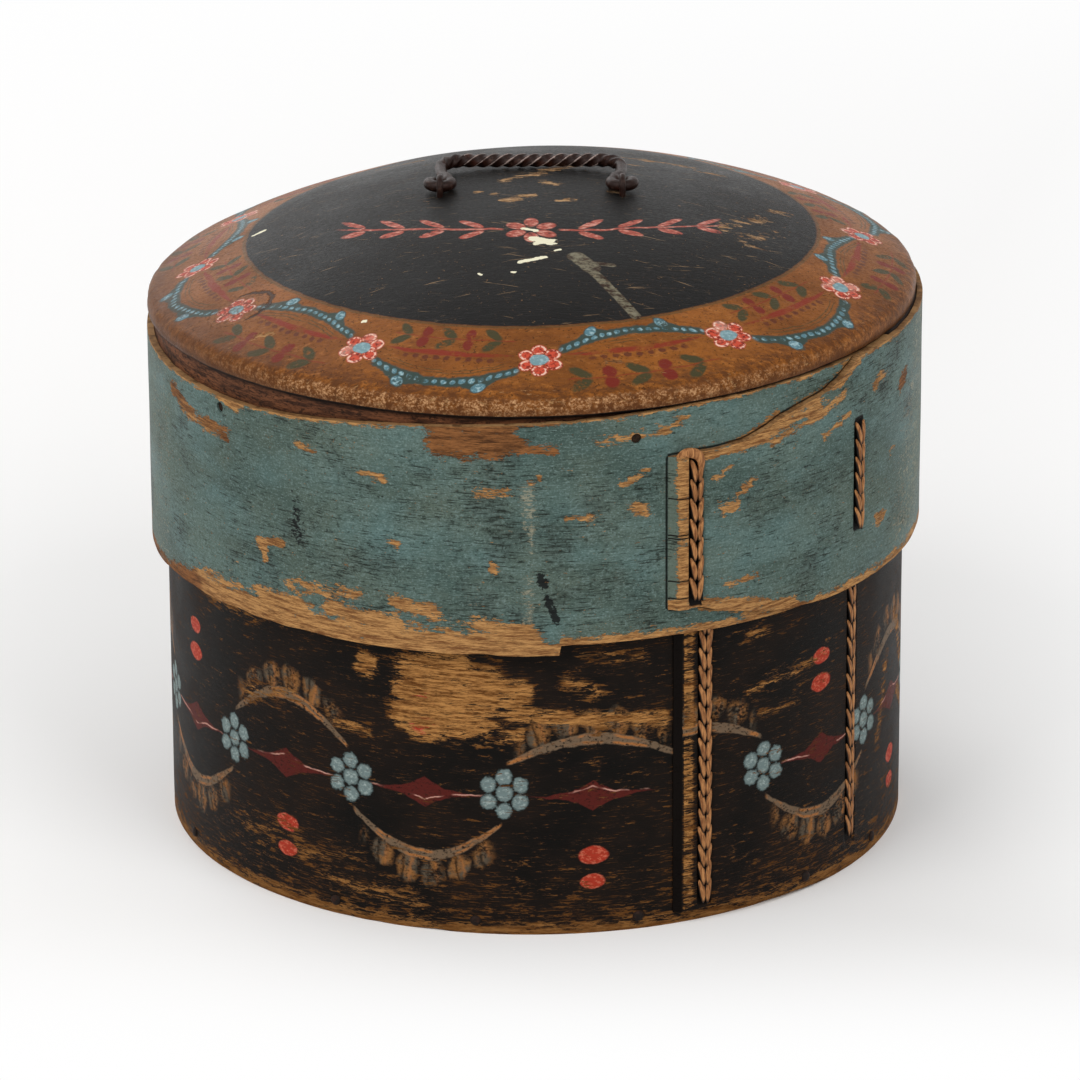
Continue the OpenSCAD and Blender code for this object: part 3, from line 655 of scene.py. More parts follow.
materials = {
    "bodyPaint": makeBodyPaint(), "lidBandPaint": makeLidBandPaint(), "lidPaint": makeLidBoardPaint(),
    "root": makeRoot(), **{name: makePlainWood(name) for name in plainWoods},
    **{name: makeIron(name) for name in irons},
}
print("materials:", len(materials))


# Mesh helpers

def dent(x, y, z, size, seed=0.0):  # smooth noise from -1 to 1
    return noise.noise(Vector((x / size + seed, y / size - seed, z / size + seed)))


def bulge(*place):  # the noise where it is above zero
    return max(0.0, dent(*place))


def ramp(value, low, high):
    t = min(max((value - low) / (high - low), 0.0), 1.0)
    return t * t * (3 - 2 * t)


def unit(values):  # cut off below 0 and above 1
    return np.clip(values, 0, 1)


def slope(values, low, high):  # straight from 0 at low to 1 at high
    return unit((values - low) / (high - low))


def within(angle):  # the same angle between -180 and 180
    return angle - 360 * round(angle / 360)


def wallPoint(r, angle, z):
    a = radians(angle)
    return Vector((r * sin(a), -r * cos(a), z))


def arc(middle, r, start, end, steps):  # points of a flat arc between two angles in degrees
    turns = [radians(start + (end - start) * i / steps) for i in range(steps + 1)]
    return [(middle[0] + r * cos(a), middle[1] + r * sin(a)) for a in turns]


def turnVerts(bm, verts, angle, axis="Z"):
    bmesh.ops.rotate(bm, verts=verts, matrix=Matrix.Rotation(radians(angle), 3, axis))


def moveVerts(bm, verts, x, y, z):
    bmesh.ops.translate(bm, verts=verts, vec=(x, y, z))


def ball(bm, around, up):
    return bmesh.ops.create_uvsphere(bm, u_segments=around, v_segments=up, radius=1)["verts"]


def rod(bm, sides, footR, topR, depth):
    return bmesh.ops.create_cone(bm, cap_ends=True, segments=sides, radius1=footR, radius2=topR,
                                 depth=depth)["verts"]


def stand(name, data):  # a new object in the scene
    made = bpy.data.objects.new(name, data)
    bpy.context.collection.objects.link(made)
    return made


def toObject(bm, name, looks):
    bmesh.ops.scale(bm, vec=(mm, mm, mm), verts=bm.verts)
    mesh = bpy.data.meshes.new(name)
    bm.to_mesh(mesh)
    bm.free()
    mesh.polygons.foreach_set("use_smooth", [True] * len(mesh.polygons))
    for look in looks:
        mesh.materials.append(materials[look])
    return stand(name, mesh)


def settle(piece):  # the modifiers' result becomes the mesh
    graph = bpy.context.evaluated_depsgraph_get()
    mesh = bpy.data.meshes.new_from_object(piece.evaluated_get(graph))
    piece.modifiers.clear()
    piece.data = mesh


def roundEdges(piece, width=0.6, angle=50, segments=2):
    bevel = piece.modifiers.new("roundEdges", "BEVEL")
    bevel.width = width * mm
    bevel.segments = segments
    bevel.profile = 0.5
    bevel.limit_method = "ANGLE"
    bevel.angle_limit = radians(angle)
    bevel.harden_normals = True


def mount(piece, body, node):
    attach(piece, body)
    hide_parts(node)
    print(piece.name, len(piece.data.polygons), "faces")


def places(mesh):  # x, y and z of all points, in mm
    flat = np.empty(len(mesh.vertices) * 3)
    mesh.vertices.foreach_get("co", flat)
    return flat.reshape(-1, 3).T / mm


def anglesOf(x, y):  # degrees round the box from the front, towards +X
    return np.degrees(np.arctan2(x, -y))


def addFields(piece, **fields):
    for name, values in fields.items():
        field = piece.data.attributes.new(name, "FLOAT", "POINT")
        field.data.foreach_set("value", np.asarray(values, np.float32))


def strokes(px, py, marks, stretch=1.0):  # each mark: start, end, half width and strength
    field = np.zeros(len(px))
    for startX, startY, endX, endY, half, strength in marks:
        fromX, fromY = (px - startX) * stretch, py - startY
        stepX, stepY = (endX - startX) * stretch, endY - startY
        share = unit((fromX * stepX + fromY * stepY) / max(stepX * stepX + stepY * stepY, 1e-6))
        gap = np.hypot(fromX - share * stepX, fromY - share * stepY)
        field = np.maximum(field, strength * unit(1.55 - gap / half * 1.05))
    return field


def heading(path, i):  # the way a path runs at one of its points
    return (path[min(i + 1, len(path) - 1)] - path[max(i - 1, 0)]).normalized()


def smoothPath(route, steps):  # a curve through the points
    path = []
    for i in range(len(route) - 1):
        before = route[max(i - 1, 0)]
        after = route[min(i + 2, len(route) - 1)]
        for k in range(steps):
            t = k / steps
            one = route[i] * (2 * t ** 3 - 3 * t * t + 1) + route[i + 1] * (3 * t * t - 2 * t ** 3)
            two = (route[i + 1] - before) * (0.5 * (t ** 3 - 2 * t * t + t))
            three = (after - route[i]) * (0.5 * (t ** 3 - t * t))
            path.append(one + two + three)
    return path + [route[-1]]


def ringTurns(sides):
    return [2 * pi * k / sides for k in range(sides)]


def sweep(bm, path, section):  # section(i) gives the ring of points round path[i]
    count = len(section(0))
    loop = bmesh.ops.create_circle(bm, segments=count, radius=1, cap_ends=True)["verts"]
    for i in range(len(path)):
        if i:
            edges = [bm.edges.get((loop[k], loop[(k + 1) % count])) for k in range(count)]
            made = bmesh.ops.extrude_edge_only(bm, edges=edges)["geom"]
            fresh = {v for v in made if isinstance(v, bmesh.types.BMVert)}
            loop = [next(e.other_vert(v) for e in v.link_edges if e.other_vert(v) in fresh) for v in loop]
        for vert, spot in zip(loop, section(i)):
            vert.co = spot
    bmesh.ops.contextual_create(bm, geom=loop)
    bmesh.ops.recalc_face_normals(bm, faces=bm.faces)


# Bent strips: turn 0 is the middle of the lap, and each strip runs from under the lap round the back to over it

lapRoom = 0.1
stepStart, stepEnd = -90, -270  # between these turns the strip steps out over its own thickness
bodyStrip = {"insideR": 155.5, "thick": 3.0, "endThick": 2.2, "outerEnd": 21.5, "innerEnd": 68.0}
lidStrip = {"insideR": 162.3, "thick": 3.0, "endThick": 2.6, "outerEnd": 19.65, "innerEnd": 65.0}
for strip in (bodyStrip, lidStrip):
    strip["lapR"] = strip["insideR"] + strip["thick"] + strip["endThick"] + lapRoom
    strip["middle"] = (strip["outerEnd"] + strip["innerEnd"]) / 2
    strip["half"] = (strip["innerEnd"] - strip["outerEnd"]) / 2
    strip["lastTurn"] = -360 - strip["half"]

pitch = 8.0  # one stitch to the next, about
seams = {
    "bodyFront": {"angle": 26.6, "foot": 8.0, "top": 196.5, "proud": 0.9, "strip": bodyStrip, "body": "box",
                  "node": "body_front_lacing"},
    "bodySide": {"angle": 57.31, "foot": 14.0, "top": 196.5, "proud": 0.9, "strip": bodyStrip, "body": "box",
                 "node": "body_side_lacing"},
    "lidFront": {"angle": 23.75, "foot": 148.3, "top": 211.0, "proud": 1.6, "strip": lidStrip, "body": "lid",
                 "node": "lid_front_lacing"},
    "lidSide": {"angle": 54.8, "foot": 158.5, "top": 207.0, "proud": 1.6, "strip": lidStrip, "body": "lid",
                "node": "lid_side_lacing"},
}
# the last entry is half the width of the painted shade along each lacing
seamBed = {"outerHalf": 3.6, "outerDepth": 1.0, "innerHalf": 1.7, "innerDepth": 1.1, "past": 1.5, "soft": 0.6,
           "shadeHalf": 3.9}
paredRun = (4.2, 0.1)  # distances from the outer end between which it is pared down


def ownSeams(strip):
    return [seam for seam in seams.values() if seam["strip"] is strip]


def fromEnd(strip, turn):  # distance along the strip from its outer end
    return radians(turn - strip["lastTurn"]) * strip["lapR"]


def faceR(strip, turn, outside):
    r = strip["insideR"]
    step = strip["thick"] + lapRoom
    if outside:
        r += strip["thick"]
        step = strip["endThick"] + lapRoom
    if turn > stepStart:
        return r
    if turn < stepEnd:
        return r + step
    a = radians(turn)
    return step / 2 * sin(a) + sqrt((r + step / 2) ** 2 - (step / 2 * cos(a)) ** 2)


def insideRAt(strip, angle):  # inside radius of a closed strip at an angle of the box
    turn = within(angle - strip["middle"])
    if abs(turn) > 90:
        return faceR(strip, turn if turn < 0 else turn - 360, False)
    return strip["insideR"] + (strip["thick"] + lapRoom if turn > strip["half"] else 0)


def outsideRAt(strip, angle):
    turn = within(angle - strip["middle"])
    return faceR(strip, turn - 360 if turn > -strip["half"] else turn, True)


def columnTurns(strip, extra, coarseStep=1.15, fineStep=0.3, fineHalf=2.6):
    fine = [strip["half"], strip["lastTurn"], *extra]  # columns lie closer at both ends and at the seams
    for seam in ownSeams(strip):
        turn = seam["angle"] - strip["middle"]
        fine += [turn, turn - 360]
    turns = []
    turn = strip["half"]
    while turn > strip["lastTurn"] + fineStep / 2:
        turns.append(turn)
        near = min(abs(turn - f) for f in fine) < fineHalf
        turn -= fineStep if near else coarseStep
    return turns + [strip["lastTurn"]]


def addStripFace(bm, turns, rows, shape, outside):
    bmesh.ops.create_grid(bm, x_segments=len(turns) - 1, y_segments=rows, size=1)
    bm.verts.ensure_lookup_table()
    bm.faces.ensure_lookup_table()
    count = len(turns) * (rows + 1)
    for v in bm.verts[len(bm.verts) - count:]:
        column = round((v.co.x + 1) / 2 * (len(turns) - 1))
        v.co = shape(turns[column], (v.co.y + 1) / 2, outside)
    faces = bm.faces[len(bm.faces) - (len(turns) - 1) * rows:]
    for face in faces:
        face.material_index = 0 if outside else 1
    return [e for e in {e for f in faces for e in f.edges} if e.is_boundary]


def makeStrip(strip, rows, shape, extra=()):
    bm = bmesh.new()
    turns = columnTurns(strip, extra)
    rims = addStripFace(bm, turns, rows, shape, True)
    rims += addStripFace(bm, turns, rows, shape, False)
    for face in bmesh.ops.bridge_loops(bm, edges=rims)["faces"]:
        middle = face.calc_center_median()
        angle = degrees(atan2(middle.x, -middle.y))
        face.material_index = 0 if abs(angle - strip["outerEnd"]) < 0.04 else 2
    bmesh.ops.recalc_face_normals(bm, faces=bm.faces)
    return bm


def seamGroove(seam, angle, z, half, depth):  # how deep a lacing lies at a place
    away = abs(angle - seam["angle"]) * radians(1) * seam["strip"]["lapR"]
    foot, top = seam["foot"], seam["top"]
    ends = ramp(z, foot - seamBed["past"], foot) * ramp(z, top + seamBed["past"], top)
    return depth * ramp(away, half + seamBed["soft"], half - seamBed["soft"]) * ends


def grooved(strip, turn, angle, z, outside):  # how far the lacings' beds move a face
    bedAndShade, own = seamBed, ownSeams(strip)
    if outside and turn < stepEnd:
        return -sum(seamGroove(seam, angle + 360, z, bedAndShade["outerHalf"], bedAndShade["outerDepth"]) for seam in own)
    if not outside and turn > stepStart:
        return sum(seamGroove(seam, angle, z, bedAndShade["innerHalf"], bedAndShade["innerDepth"]) for seam in own)
    return 0


def seamShade(strip, angle, z):  # painted shade: 1 along each lacing, where its bed lies in shade
    field = np.zeros(len(angle))
    for seam in ownSeams(strip):
        away = np.abs(angle - seam["angle"]) * radians(1) * strip["lapR"]
        along = (z > seam["foot"] - seamBed["past"]) * (z < seam["top"] + seamBed["past"])
        field = np.maximum(field, unit(seamBed["shadeHalf"] - away) * along)
    return field


def tongue(band, end):  # 1 at the strip's end, falling to 0 where the tongue's cut runs out
    return (1 - slope(end, band["tongueFlat"], band["tongueLen"])) ** band["tonguePower"]


# Body band

bodyBand = {"rows": 62, "height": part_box("body_band")[1].z / mm, "wallR": 158, "uneven": 0.14, "pared": 1.5,
            "footNicks": 0.9, "topNicks": 0.7, "wornBase": 0.2, "wornStrokes": 0.52, "wornFoot": 0.37,
            "footH": 7.5, "wornLow": 0.16, "lowH": 45, "wornLacing": 0.51, "lacingRun": (3.6, 4.4),
            "lacingEnd": (12, 8),
            "tongueLen": 94, "tongueFlat": 17, "tonguePower": 1.6, "tongueDrop": 12, "tongueRise": 5.5}
bodyWorn = [  # start and end as angle and height, half width, strength
    (-17.5, 108, -8, 109, 12, 1.0), (-19, 117, -12, 121, 7, 0.95), (-20, 97, -8, 96, 7, 0.9),
    (-8, 108, -2, 110, 6, 0.85), (-26.4, 115, -26, 117, 5, 1.0), (-18, 88, -2, 90, 4, 0.6),
    (-4, 100, 20, 94, 4, 0.75), (-32, 88, -26, 86, 3, 0.65), (5, 114, 10, 108, 4, 0.55),
    (7, 127, 17, 122, 3, 0.5), (-53, 29, -39, 31, 6, 0.3), (-39, 23, -28, 29, 4, 0.3),
    (-34, 17, -18, 12, 4, 0.25), (34, 99, 50, 105, 2.2, 0.62), (36, 88, 44, 88, 2.2, 0.55),
    (34, 125, 38, 124, 3, 0.48), (71, 85, 67, 48, 4, 0.5), (-50, 88, -40, 96, 5, 0.5),
    (112, 62, 131, 65, 5, 0.85), (108, 71, 120, 72, 4, 0.7), (122, 56, 140, 58, 4, 0.7),
    (164, 97, 180, 99, 7, 0.9), (158, 105, 172, 107, 4, 0.75), (172, 89, 179.5, 88, 5, 0.7),
    (-180, 100, -171, 103, 5, 0.8), (-128, 84, -114, 89, 5, 0.85), (-136, 79, -120, 78, 4, 0.65),
    (-116, 97, -104, 98, 3.5, 0.65), (-150, 118, -140, 121, 4, 0.6), (96, 112, 110, 116, 5, 0.6),
    (-96, 36, -86, 40, 5, 0.6), (140, 24, 160, 30, 6, 0.6), (-165, 40, -150, 44, 5, 0.55),
    (-64, 123, -46, 125, 4, 0.42), (77, 96, 82, 72, 5, 0.6), (79, 60, 84, 50, 4, 0.6),
]


def bodyShape(turn, share, outside):
    b = bodyBand
    angle = bodyStrip["middle"] + turn
    end = fromEnd(bodyStrip, turn)
    p = wallPoint(b["wallR"], angle, 0)
    cut = tongue(b, end)
    nicks = bulge(p.x, p.y, 3, 9) * ramp(abs(dent(p.x, p.y, 7, 40)), 0.1, 0.4)
    foot = b["tongueRise"] * cut + b["footNicks"] * nicks
    top = b["height"] - b["tongueDrop"] * cut - b["topNicks"] * bulge(p.x, p.y, 17, 12)
    z = foot + (top - foot) * share
    r = faceR(bodyStrip, turn, outside) + grooved(bodyStrip, turn, angle, z, outside)
    if outside:
        r -= b["uneven"] * (1 + dent(p.x, p.y, z, 30, 2))
        if turn < stepEnd:
            r -= b["pared"] * ramp(end, *paredRun)
    return wallPoint(r, angle, z)


def makeBodyBand():
    b = bodyBand
    bm = makeStrip(bodyStrip, b["rows"], bodyShape)
    piece = toObject(bm, "bodyBand", ["bodyPaint", "bareWood", "bareWood"])
    roundEdges(piece)
    settle(piece)
    x, y, z = places(piece.data)
    angle = anglesOf(x, y)
    worn = strokes(angle, z, bodyWorn, radians(bodyOrnament["wallR"])) * b["wornStrokes"] + b["wornBase"]
    worn += b["wornFoot"] * slope(z, b["footH"], 0) + b["wornLow"] * slope(z, b["lowH"], 0)
    over = np.hypot(x, y) > bodyStrip["lapR"] - 1.95
    end = np.radians(angle - bodyStrip["outerEnd"]) * bodyStrip["lapR"]
    besideLacing = over * slope(end, *b["lacingRun"]) * slope(end, *b["lacingEnd"])
    # painted shade on the pared end of the lap, joined below with the painted shade along the lacings
    pared = slope(end, 3.9, 3.3) * (end > -0.5)
    addFields(piece, worn=unit(np.maximum(worn, b["wornLacing"] * besideLacing)),
              seam=over * np.maximum(pared, seamShade(bodyStrip, angle, z)))
    mount(piece, "box", "body_band")


# Lid band

rimZ = 235.0
boardSag = -2.0
boardWaves = ((1, 3.7, -0.3), (2, -0.6, 1.2), (3, 0, -1.2))  # waves in one round, heights of sine and cosine
lidBand = {"rows": 40, "wallR": 166.0, "uneven": 0.16, "pared": 1.7, "footNicks": 1.0, "topNicks": 0.9,
           "ridgeH": 1.1, "ridgeStart": (0.3, 4.2), "ridgeEnd": (9.2, 8.2),
           "tongueLen": 98, "tongueFlat": 13, "tonguePower": 2.2, "tongueFoot": 146.2,
           "topMiddle": 229.2, "topTilt": 5.5, "footMiddle": 130.7, "footTilt": 4.0,
           "swellH": 6.2, "swellAngle": 75, "swellHalf": 50, "dipH": 4.4, "dipAngle": -50, "dipHalf": (45, 24),
           "chipAngle": 3.8, "chipFoot": 128.3, "chipRise": 1.6, "chipRun": (40, 4), "fullRun": (-85, -60),
           "pegR": 2.15, "pegAngles": (-160, -106, -52, 15, 84, 140), "pegDrop": 9.0,
           "wornBase": 0.15, "wornStrokes": 0.62, "wornTop": 0.5, "topH": 2.6, "wornFoot": 0.6, "wornLow": 0.12,
           "lowH": 30, "wornTongue": 0.62, "wornEnd": 0.72, "wornEndFoot": 0.7, "endRun": (1.3, 4.1),
           "endFoot": 151.5}
tongueLine = [  # distance from the outer end and height of the tongue's hand-cut upper edge
    (0, 212.6), (13, 213.4), (21, 213.4), (35.5, 214.6), (46, 217.8), (55, 221.4), (67, 223.8), (80, 225.8),
    (90.6, 229.8), (98, 233.4), (106, 238)]
lidBandWorn = [
    (-13, 221, -4, 222, 7, 1.0), (-3, 220, 3, 219, 3, 0.8), (9, 221, 20, 224, 2.4, 0.66),
    (21, 226.6, 22.6, 228, 2, 0.8), (-43.6, 163, -39, 165, 2.2, 1.0), (-42.4, 163, -42.4, 156, 2, 1.0),
    (-5.8, 167, -5.7, 168, 2.4, 1.0), (-20, 173, -20, 175, 2.6, 0.85), (-8, 200, -3, 200, 1.8, 0.8),
    (-0.5, 203, 1, 206, 1.6, 0.8), (5, 189, 9, 189, 1.8, 0.85), (13, 202, 16.5, 207, 1.8, 0.9),
    (15, 191.6, 16.5, 190, 2.8, 1.0), (-66.6, 212, -61, 207, 3.6, 0.95), (-61, 206, -51, 205, 3.6, 0.85),
    (-52, 221, -48, 219, 2.6, 0.75), (-36, 211, -33, 209, 2.2, 0.75), (-25, 204, -22, 203, 2, 0.85),
    (-38, 148, -26, 150, 3, 0.62), (-20, 149, -14, 146, 3.6, 0.75), (-31, 143, -20, 140, 3, 0.66),
    (-43, 140, -36, 140, 3, 0.66), (-8, 143, 0, 138, 3, 0.66), (30, 190, 33, 197, 2, 0.9),
    (28, 186, 30, 187, 2.6, 0.85), (27, 200, 29, 205, 1.8, 0.75), (25, 211.5, 31, 212.5, 2.2, 1.0),
    (31, 212.5, 35, 215.5, 3.2, 1.0), (35, 215.5, 38, 219, 4, 1.0), (38, 217.5, 45, 221, 2.6, 0.95),
    (40, 222, 50, 227.5, 1.8, 0.9), (36, 211, 44, 216, 2, 0.7), (44, 216, 51, 222, 2.2, 0.85),
    (50, 228, 54, 233, 2.2, 0.9), (46, 206, 52, 212, 1.8, 0.85), (60, 158, 62, 158, 3, 0.8),
    (68, 211, 70, 214, 4, 0.85), (59, 219, 61, 222, 3, 0.75), (64, 183, 66, 186, 2, 0.6),
    (29, 153, 34, 154, 1.8, 0.75), (25.5, 145.5, 34, 141, 3.6, 0.95), (33, 141.5, 40, 137.5, 2.6, 0.9),
    (118, 196, 126, 199, 4, 0.9), (150, 160, 156, 158, 3, 0.85), (-112, 176, -104, 180, 3.5, 0.85),
    (-150, 210, -135, 214, 4, 0.85), (95, 150, 104, 148, 3, 0.75), (130, 205, 136, 203, 2, 0.8),
    (-96, 206, -88, 202, 2.5, 0.8), (-131, 151, -120, 147, 3, 0.75), (160, 190, 163, 191, 2, 0.9),
    (100, 216, 112, 218, 3.4, 0.8), (-172, 139, -150, 137, 3.6, 0.75), (110, 140, 132, 138, 3.6, 0.72),
    (-140, 186, -137, 184, 2, 0.85), (-146, 207, -142, 203, 2.4, 0.8), (168, 218, 178, 220, 3, 0.75),
    (-128, 148, -110, 141, 2.6, 0.66), (122, 192, 127, 193, 2, 0.8), (-100, 137, -84, 136, 3, 0.72),
]
# the narrow strokes near the front are pale dust; the broad patches at the far left and right are painted sheen
lidBandDustAndSheen = [
    (-0.8, 201, -0.2, 186, 4.4, 0.71), (-0.1, 184, 0.5, 165, 1.5, 0.76), (-0.4, 162, -1.0, 136, 3.8, 0.67),
    (15, 170, 15, 132, 3.0, 0.45), (72, 142, 81, 220, 30, 0.6), (80, 165, 92, 138, 26, 0.52),
    (87, 221, 93, 204, 20, 0.46), (-75, 140, -73, 212, 24, 0.5),
]
lidBandDrip = [
    (1.0, 163, 1.6, 160, 2.4, 1.0), (2.2, 153, 3.5, 143, 1.8, 0.9), (-37, 190, -36, 170, 3.5, 0.55),
]
lidBandBrown = [
    (-14, 221, 6, 221, 9, 1.0), (-66, 212, -50, 205, 6, 0.7), (66, 213, 72, 216, 7, 0.9),
    (-92, 128, -60, 129, 8, 0.85),
]


def boardWarp(angle):  # the board has dried out of true: it leans to the left and its rim runs in waves
    a = radians(angle)
    return boardSag + sum(s * sin(n * a) + c * cos(n * a) for n, s, c in boardWaves)


def bump(angle, middle, half):
    return exp(-(within(angle - middle) / half) ** 2)


def tilted(angle, edge):  # height of the band's "top" or "foot" as it was cut, a little askew
    return lidBand[edge + "Middle"] + lidBand[edge + "Tilt"] * sin(radians(angle))


def lidTop(angle):
    b = lidBand
    left, right = b["dipHalf"]
    top = tilted(angle, "top") + b["swellH"] * bump(angle, b["swellAngle"], b["swellHalf"])
    top -= b["dipH"] * bump(angle, b["dipAngle"], left if within(angle) < b["dipAngle"] else right)
    return min(top, rimZ + boardWarp(angle) - 0.6)


def lidFoot(angle):
    foot = tilted(angle, "foot")
    away = within(angle - lidBand["chipAngle"])
    if away < 0:  # left of the chip the strip keeps its full width
        foot += (lidBand["chipFoot"] - foot) * ramp(away, *lidBand["fullRun"])
    return foot + (lidBand["chipRise"] * ramp(away, *lidBand["chipRun"]) if away > 0 else 0)


tongueLift = lidBand["tongueFoot"] - lidFoot(lidStrip["innerEnd"])


def tongueTop(end):
    return np.interp(end, *zip(*tongueLine), right=999)


def lidBandShape(turn, share, outside):
    b = lidBand
    angle = lidStrip["middle"] + turn
    end = fromEnd(lidStrip, turn)
    p = wallPoint(b["wallR"], angle, 0)
    top = lidTop(angle)
    foot = lidFoot(angle)
    if turn < stepEnd:
        top = min(top, tongueTop(end))
        foot += tongueLift * tongue(b, end)
    top -= b["topNicks"] * bulge(p.x, p.y, 31, 11)
    foot += b["footNicks"] * bulge(p.x, p.y, 51, 13)
    z = foot + (top - foot) * share
    r = faceR(lidStrip, turn, outside) + grooved(lidStrip, turn, angle, z, outside)
    if outside:
        r -= b["uneven"] * (1 + dent(p.x, p.y, z, 34, 5))
        if turn < stepEnd:  # ridge beside the lacing
            ridge = b["ridgeH"] * ramp(end, *b["ridgeStart"]) * ramp(end, *b["ridgeEnd"])
            r += ridge - b["pared"] * ramp(end, *paredRun)
    return wallPoint(r, angle, z)


def makePegCutter():
    bm = bmesh.new()
    for angle in lidBand["pegAngles"]:
        made = rod(bm, 20, lidBand["pegR"], lidBand["pegR"], 24)
        turnVerts(bm, made, 90, "X")
        moveVerts(bm, made, 0, -lidBand["wallR"], tilted(angle, "top") - lidBand["pegDrop"])
        turnVerts(bm, made, angle)
    return toObject(bm, "pegCutter", ["grimyWood"])


def makeLidBand():
    b = lidBand
    bm = makeStrip(lidStrip, b["rows"], lidBandShape, [b["chipAngle"] - lidStrip["middle"]])
    piece = toObject(bm, "lidBand", ["lidBandPaint", "bareWood", "bareWood"])
    cutter = makePegCutter()
    drill = piece.modifiers.new("pegHoles", "BOOLEAN")
    drill.object = cutter
    drill.operation = "DIFFERENCE"
    drill.solver = "EXACT"
    roundEdges(piece)
    settle(piece)
    bpy.data.objects.remove(cutter)
    x, y, z = places(piece.data)
    angle = anglesOf(x, y)

    def field(marks):
        return strokes(angle, z, marks, radians(b["wallR"]))

    over = np.hypot(x, y) > lidStrip["lapR"] - 2.3
    top = np.array([lidTop(a) for a in angle])
    foot = np.array([lidFoot(a) for a in angle])
    left = slope(angle, b["chipAngle"] + 2, b["chipAngle"] - 4) * slope(angle, -70, -56)
    worn = field(lidBandWorn) * b["wornStrokes"] + b["wornBase"] + b["wornTop"] * slope(top - z, b["topH"], 0)
    worn += b["wornFoot"] * unit(1.4 - (z - foot) / (4 + 7 * left))
    worn += b["wornLow"] * left * slope(z - foot, b["lowH"], 0)
    end = np.radians(angle - lidStrip["outerEnd"]) * lidStrip["lapR"]
    tongueFoot = foot + tongueLift * tongue(b, end)
    onTongue = over * slope(end, 3, 6) * (end < 100)
    onEnd = over * (end > -1) * (end < 8.8) * (z < 214)
    for more in (onTongue * b["wornTongue"] * unit(1.3 - np.abs(tongueTop(end) - z) / 3),
                 onTongue * b["wornTongue"] * unit(1.3 - np.abs(z - tongueFoot) / 4),
                 onEnd * b["wornEnd"] * slope(end, *b["endRun"]),
                 onEnd * b["wornEndFoot"] * slope(z, b["endFoot"], b["endFoot"] - 3)):
        worn = np.maximum(worn, more)
    offLap = np.maximum(np.maximum(z - tongueTop(end), tongueFoot - z), -end)
    # painted shade along the lacings and painted shadow round the lap go into two of these fields
    addFields(piece, worn=unit(worn), ridge=onEnd, offLap=np.where(over, -9, offLap),
              seam=over * seamShade(lidStrip, angle, z), dusty=field(lidBandDustAndSheen), drip=field(lidBandDrip),
              brown=field(lidBandBrown))
    mount(piece, "lid", "lid_band")


# Lid board

lidBoard = {"rimR": 165.3, "roundR": 6.0, "edgeH": 4.0, "domeTop": 278.0, "domeR": 407.0, "shoulderH": 24.0,
            "shoulderRoom": 0.3, "mouthR": 140.3, "hollowTop": 260.0, "hollowR": 225.4, "steps": 300,
            "rimWear": 0.35, "rimDents": 0.5, "topDents": 0.5, "wornBase": 0.12, "wornStrokes": 0.54,
            "wornRim": 0.15}
boardWorn = [  # places on the board, seen from above
    (-14, 13, 6, 27, 3, 0.85), (6, 31, 19, 42, 4, 0.85), (-11, -14, 0, -8, 4, 0.85),
    (12, -14, 20, -11, 2.4, 0.8), (-17, -6, -15, -5, 2.2, 0.9), (33, 1, 39, 0, 2.6, 0.7),
    (4, 10, 12, 8, 2.2, 0.7), (-24, -2, -22, -1, 1.8, 0.8), (39, 52, 48, 53, 2.4, 0.7),
    (80, -28, 98, -5, 5, 0.6), (88, -36, 104, -21, 5, 0.62), (-40, 60, -28, 62, 2.4, 0.6),
    (92, -42, 100, -42, 3, 0.6), (72, 60, 84, 59, 3, 0.7), (104, 9, 112, 10, 3, 0.8), (60, -4, 66, -4, 2, 0.7),
    (-20, 60, 10, 62, 3, 0.7), (40, 70, 70, 68, 4, 0.7), (-70, 80, -50, 82, 4, 0.65),
    (30, -142, 36, -141, 2.5, 0.7), (-115, -98, -108, -100, 2.4, 0.9),
]


def boardProfile():
    b = lidBoard
    roundR = b["rimR"] - b["roundR"]
    shoulderR = lidStrip["insideR"] - b["shoulderRoom"]
    bottom = rimZ - b["shoulderH"]
    lean = degrees(asin(roundR / (b["domeR"] - b["roundR"])))
    mouth = degrees(asin(b["mouthR"] / b["hollowR"]))
    profile = arc((0, b["domeTop"] - b["domeR"]), b["domeR"], 90, 90 - lean, 51)
    profile += arc((roundR, rimZ + b["edgeH"]), b["roundR"], 90 - lean, 0, 8)[1:]
    profile += [(b["rimR"] - inward, rimZ + up) for inward, up in ((0, 2), (0.15, 0.6), (0.6, 0), (2, 0))]
    profile += [(shoulderR, rimZ - 0.4 - (b["shoulderH"] - 1) * i / 6) for i in range(7)]
    profile += [(shoulderR - 0.8, bottom), (shoulderR - 8, bottom), (b["mouthR"] + 6, bottom)]
    return profile + arc((0, b["hollowTop"] - b["hollowR"]), b["hollowR"], 90 - mouth, 90, 24)


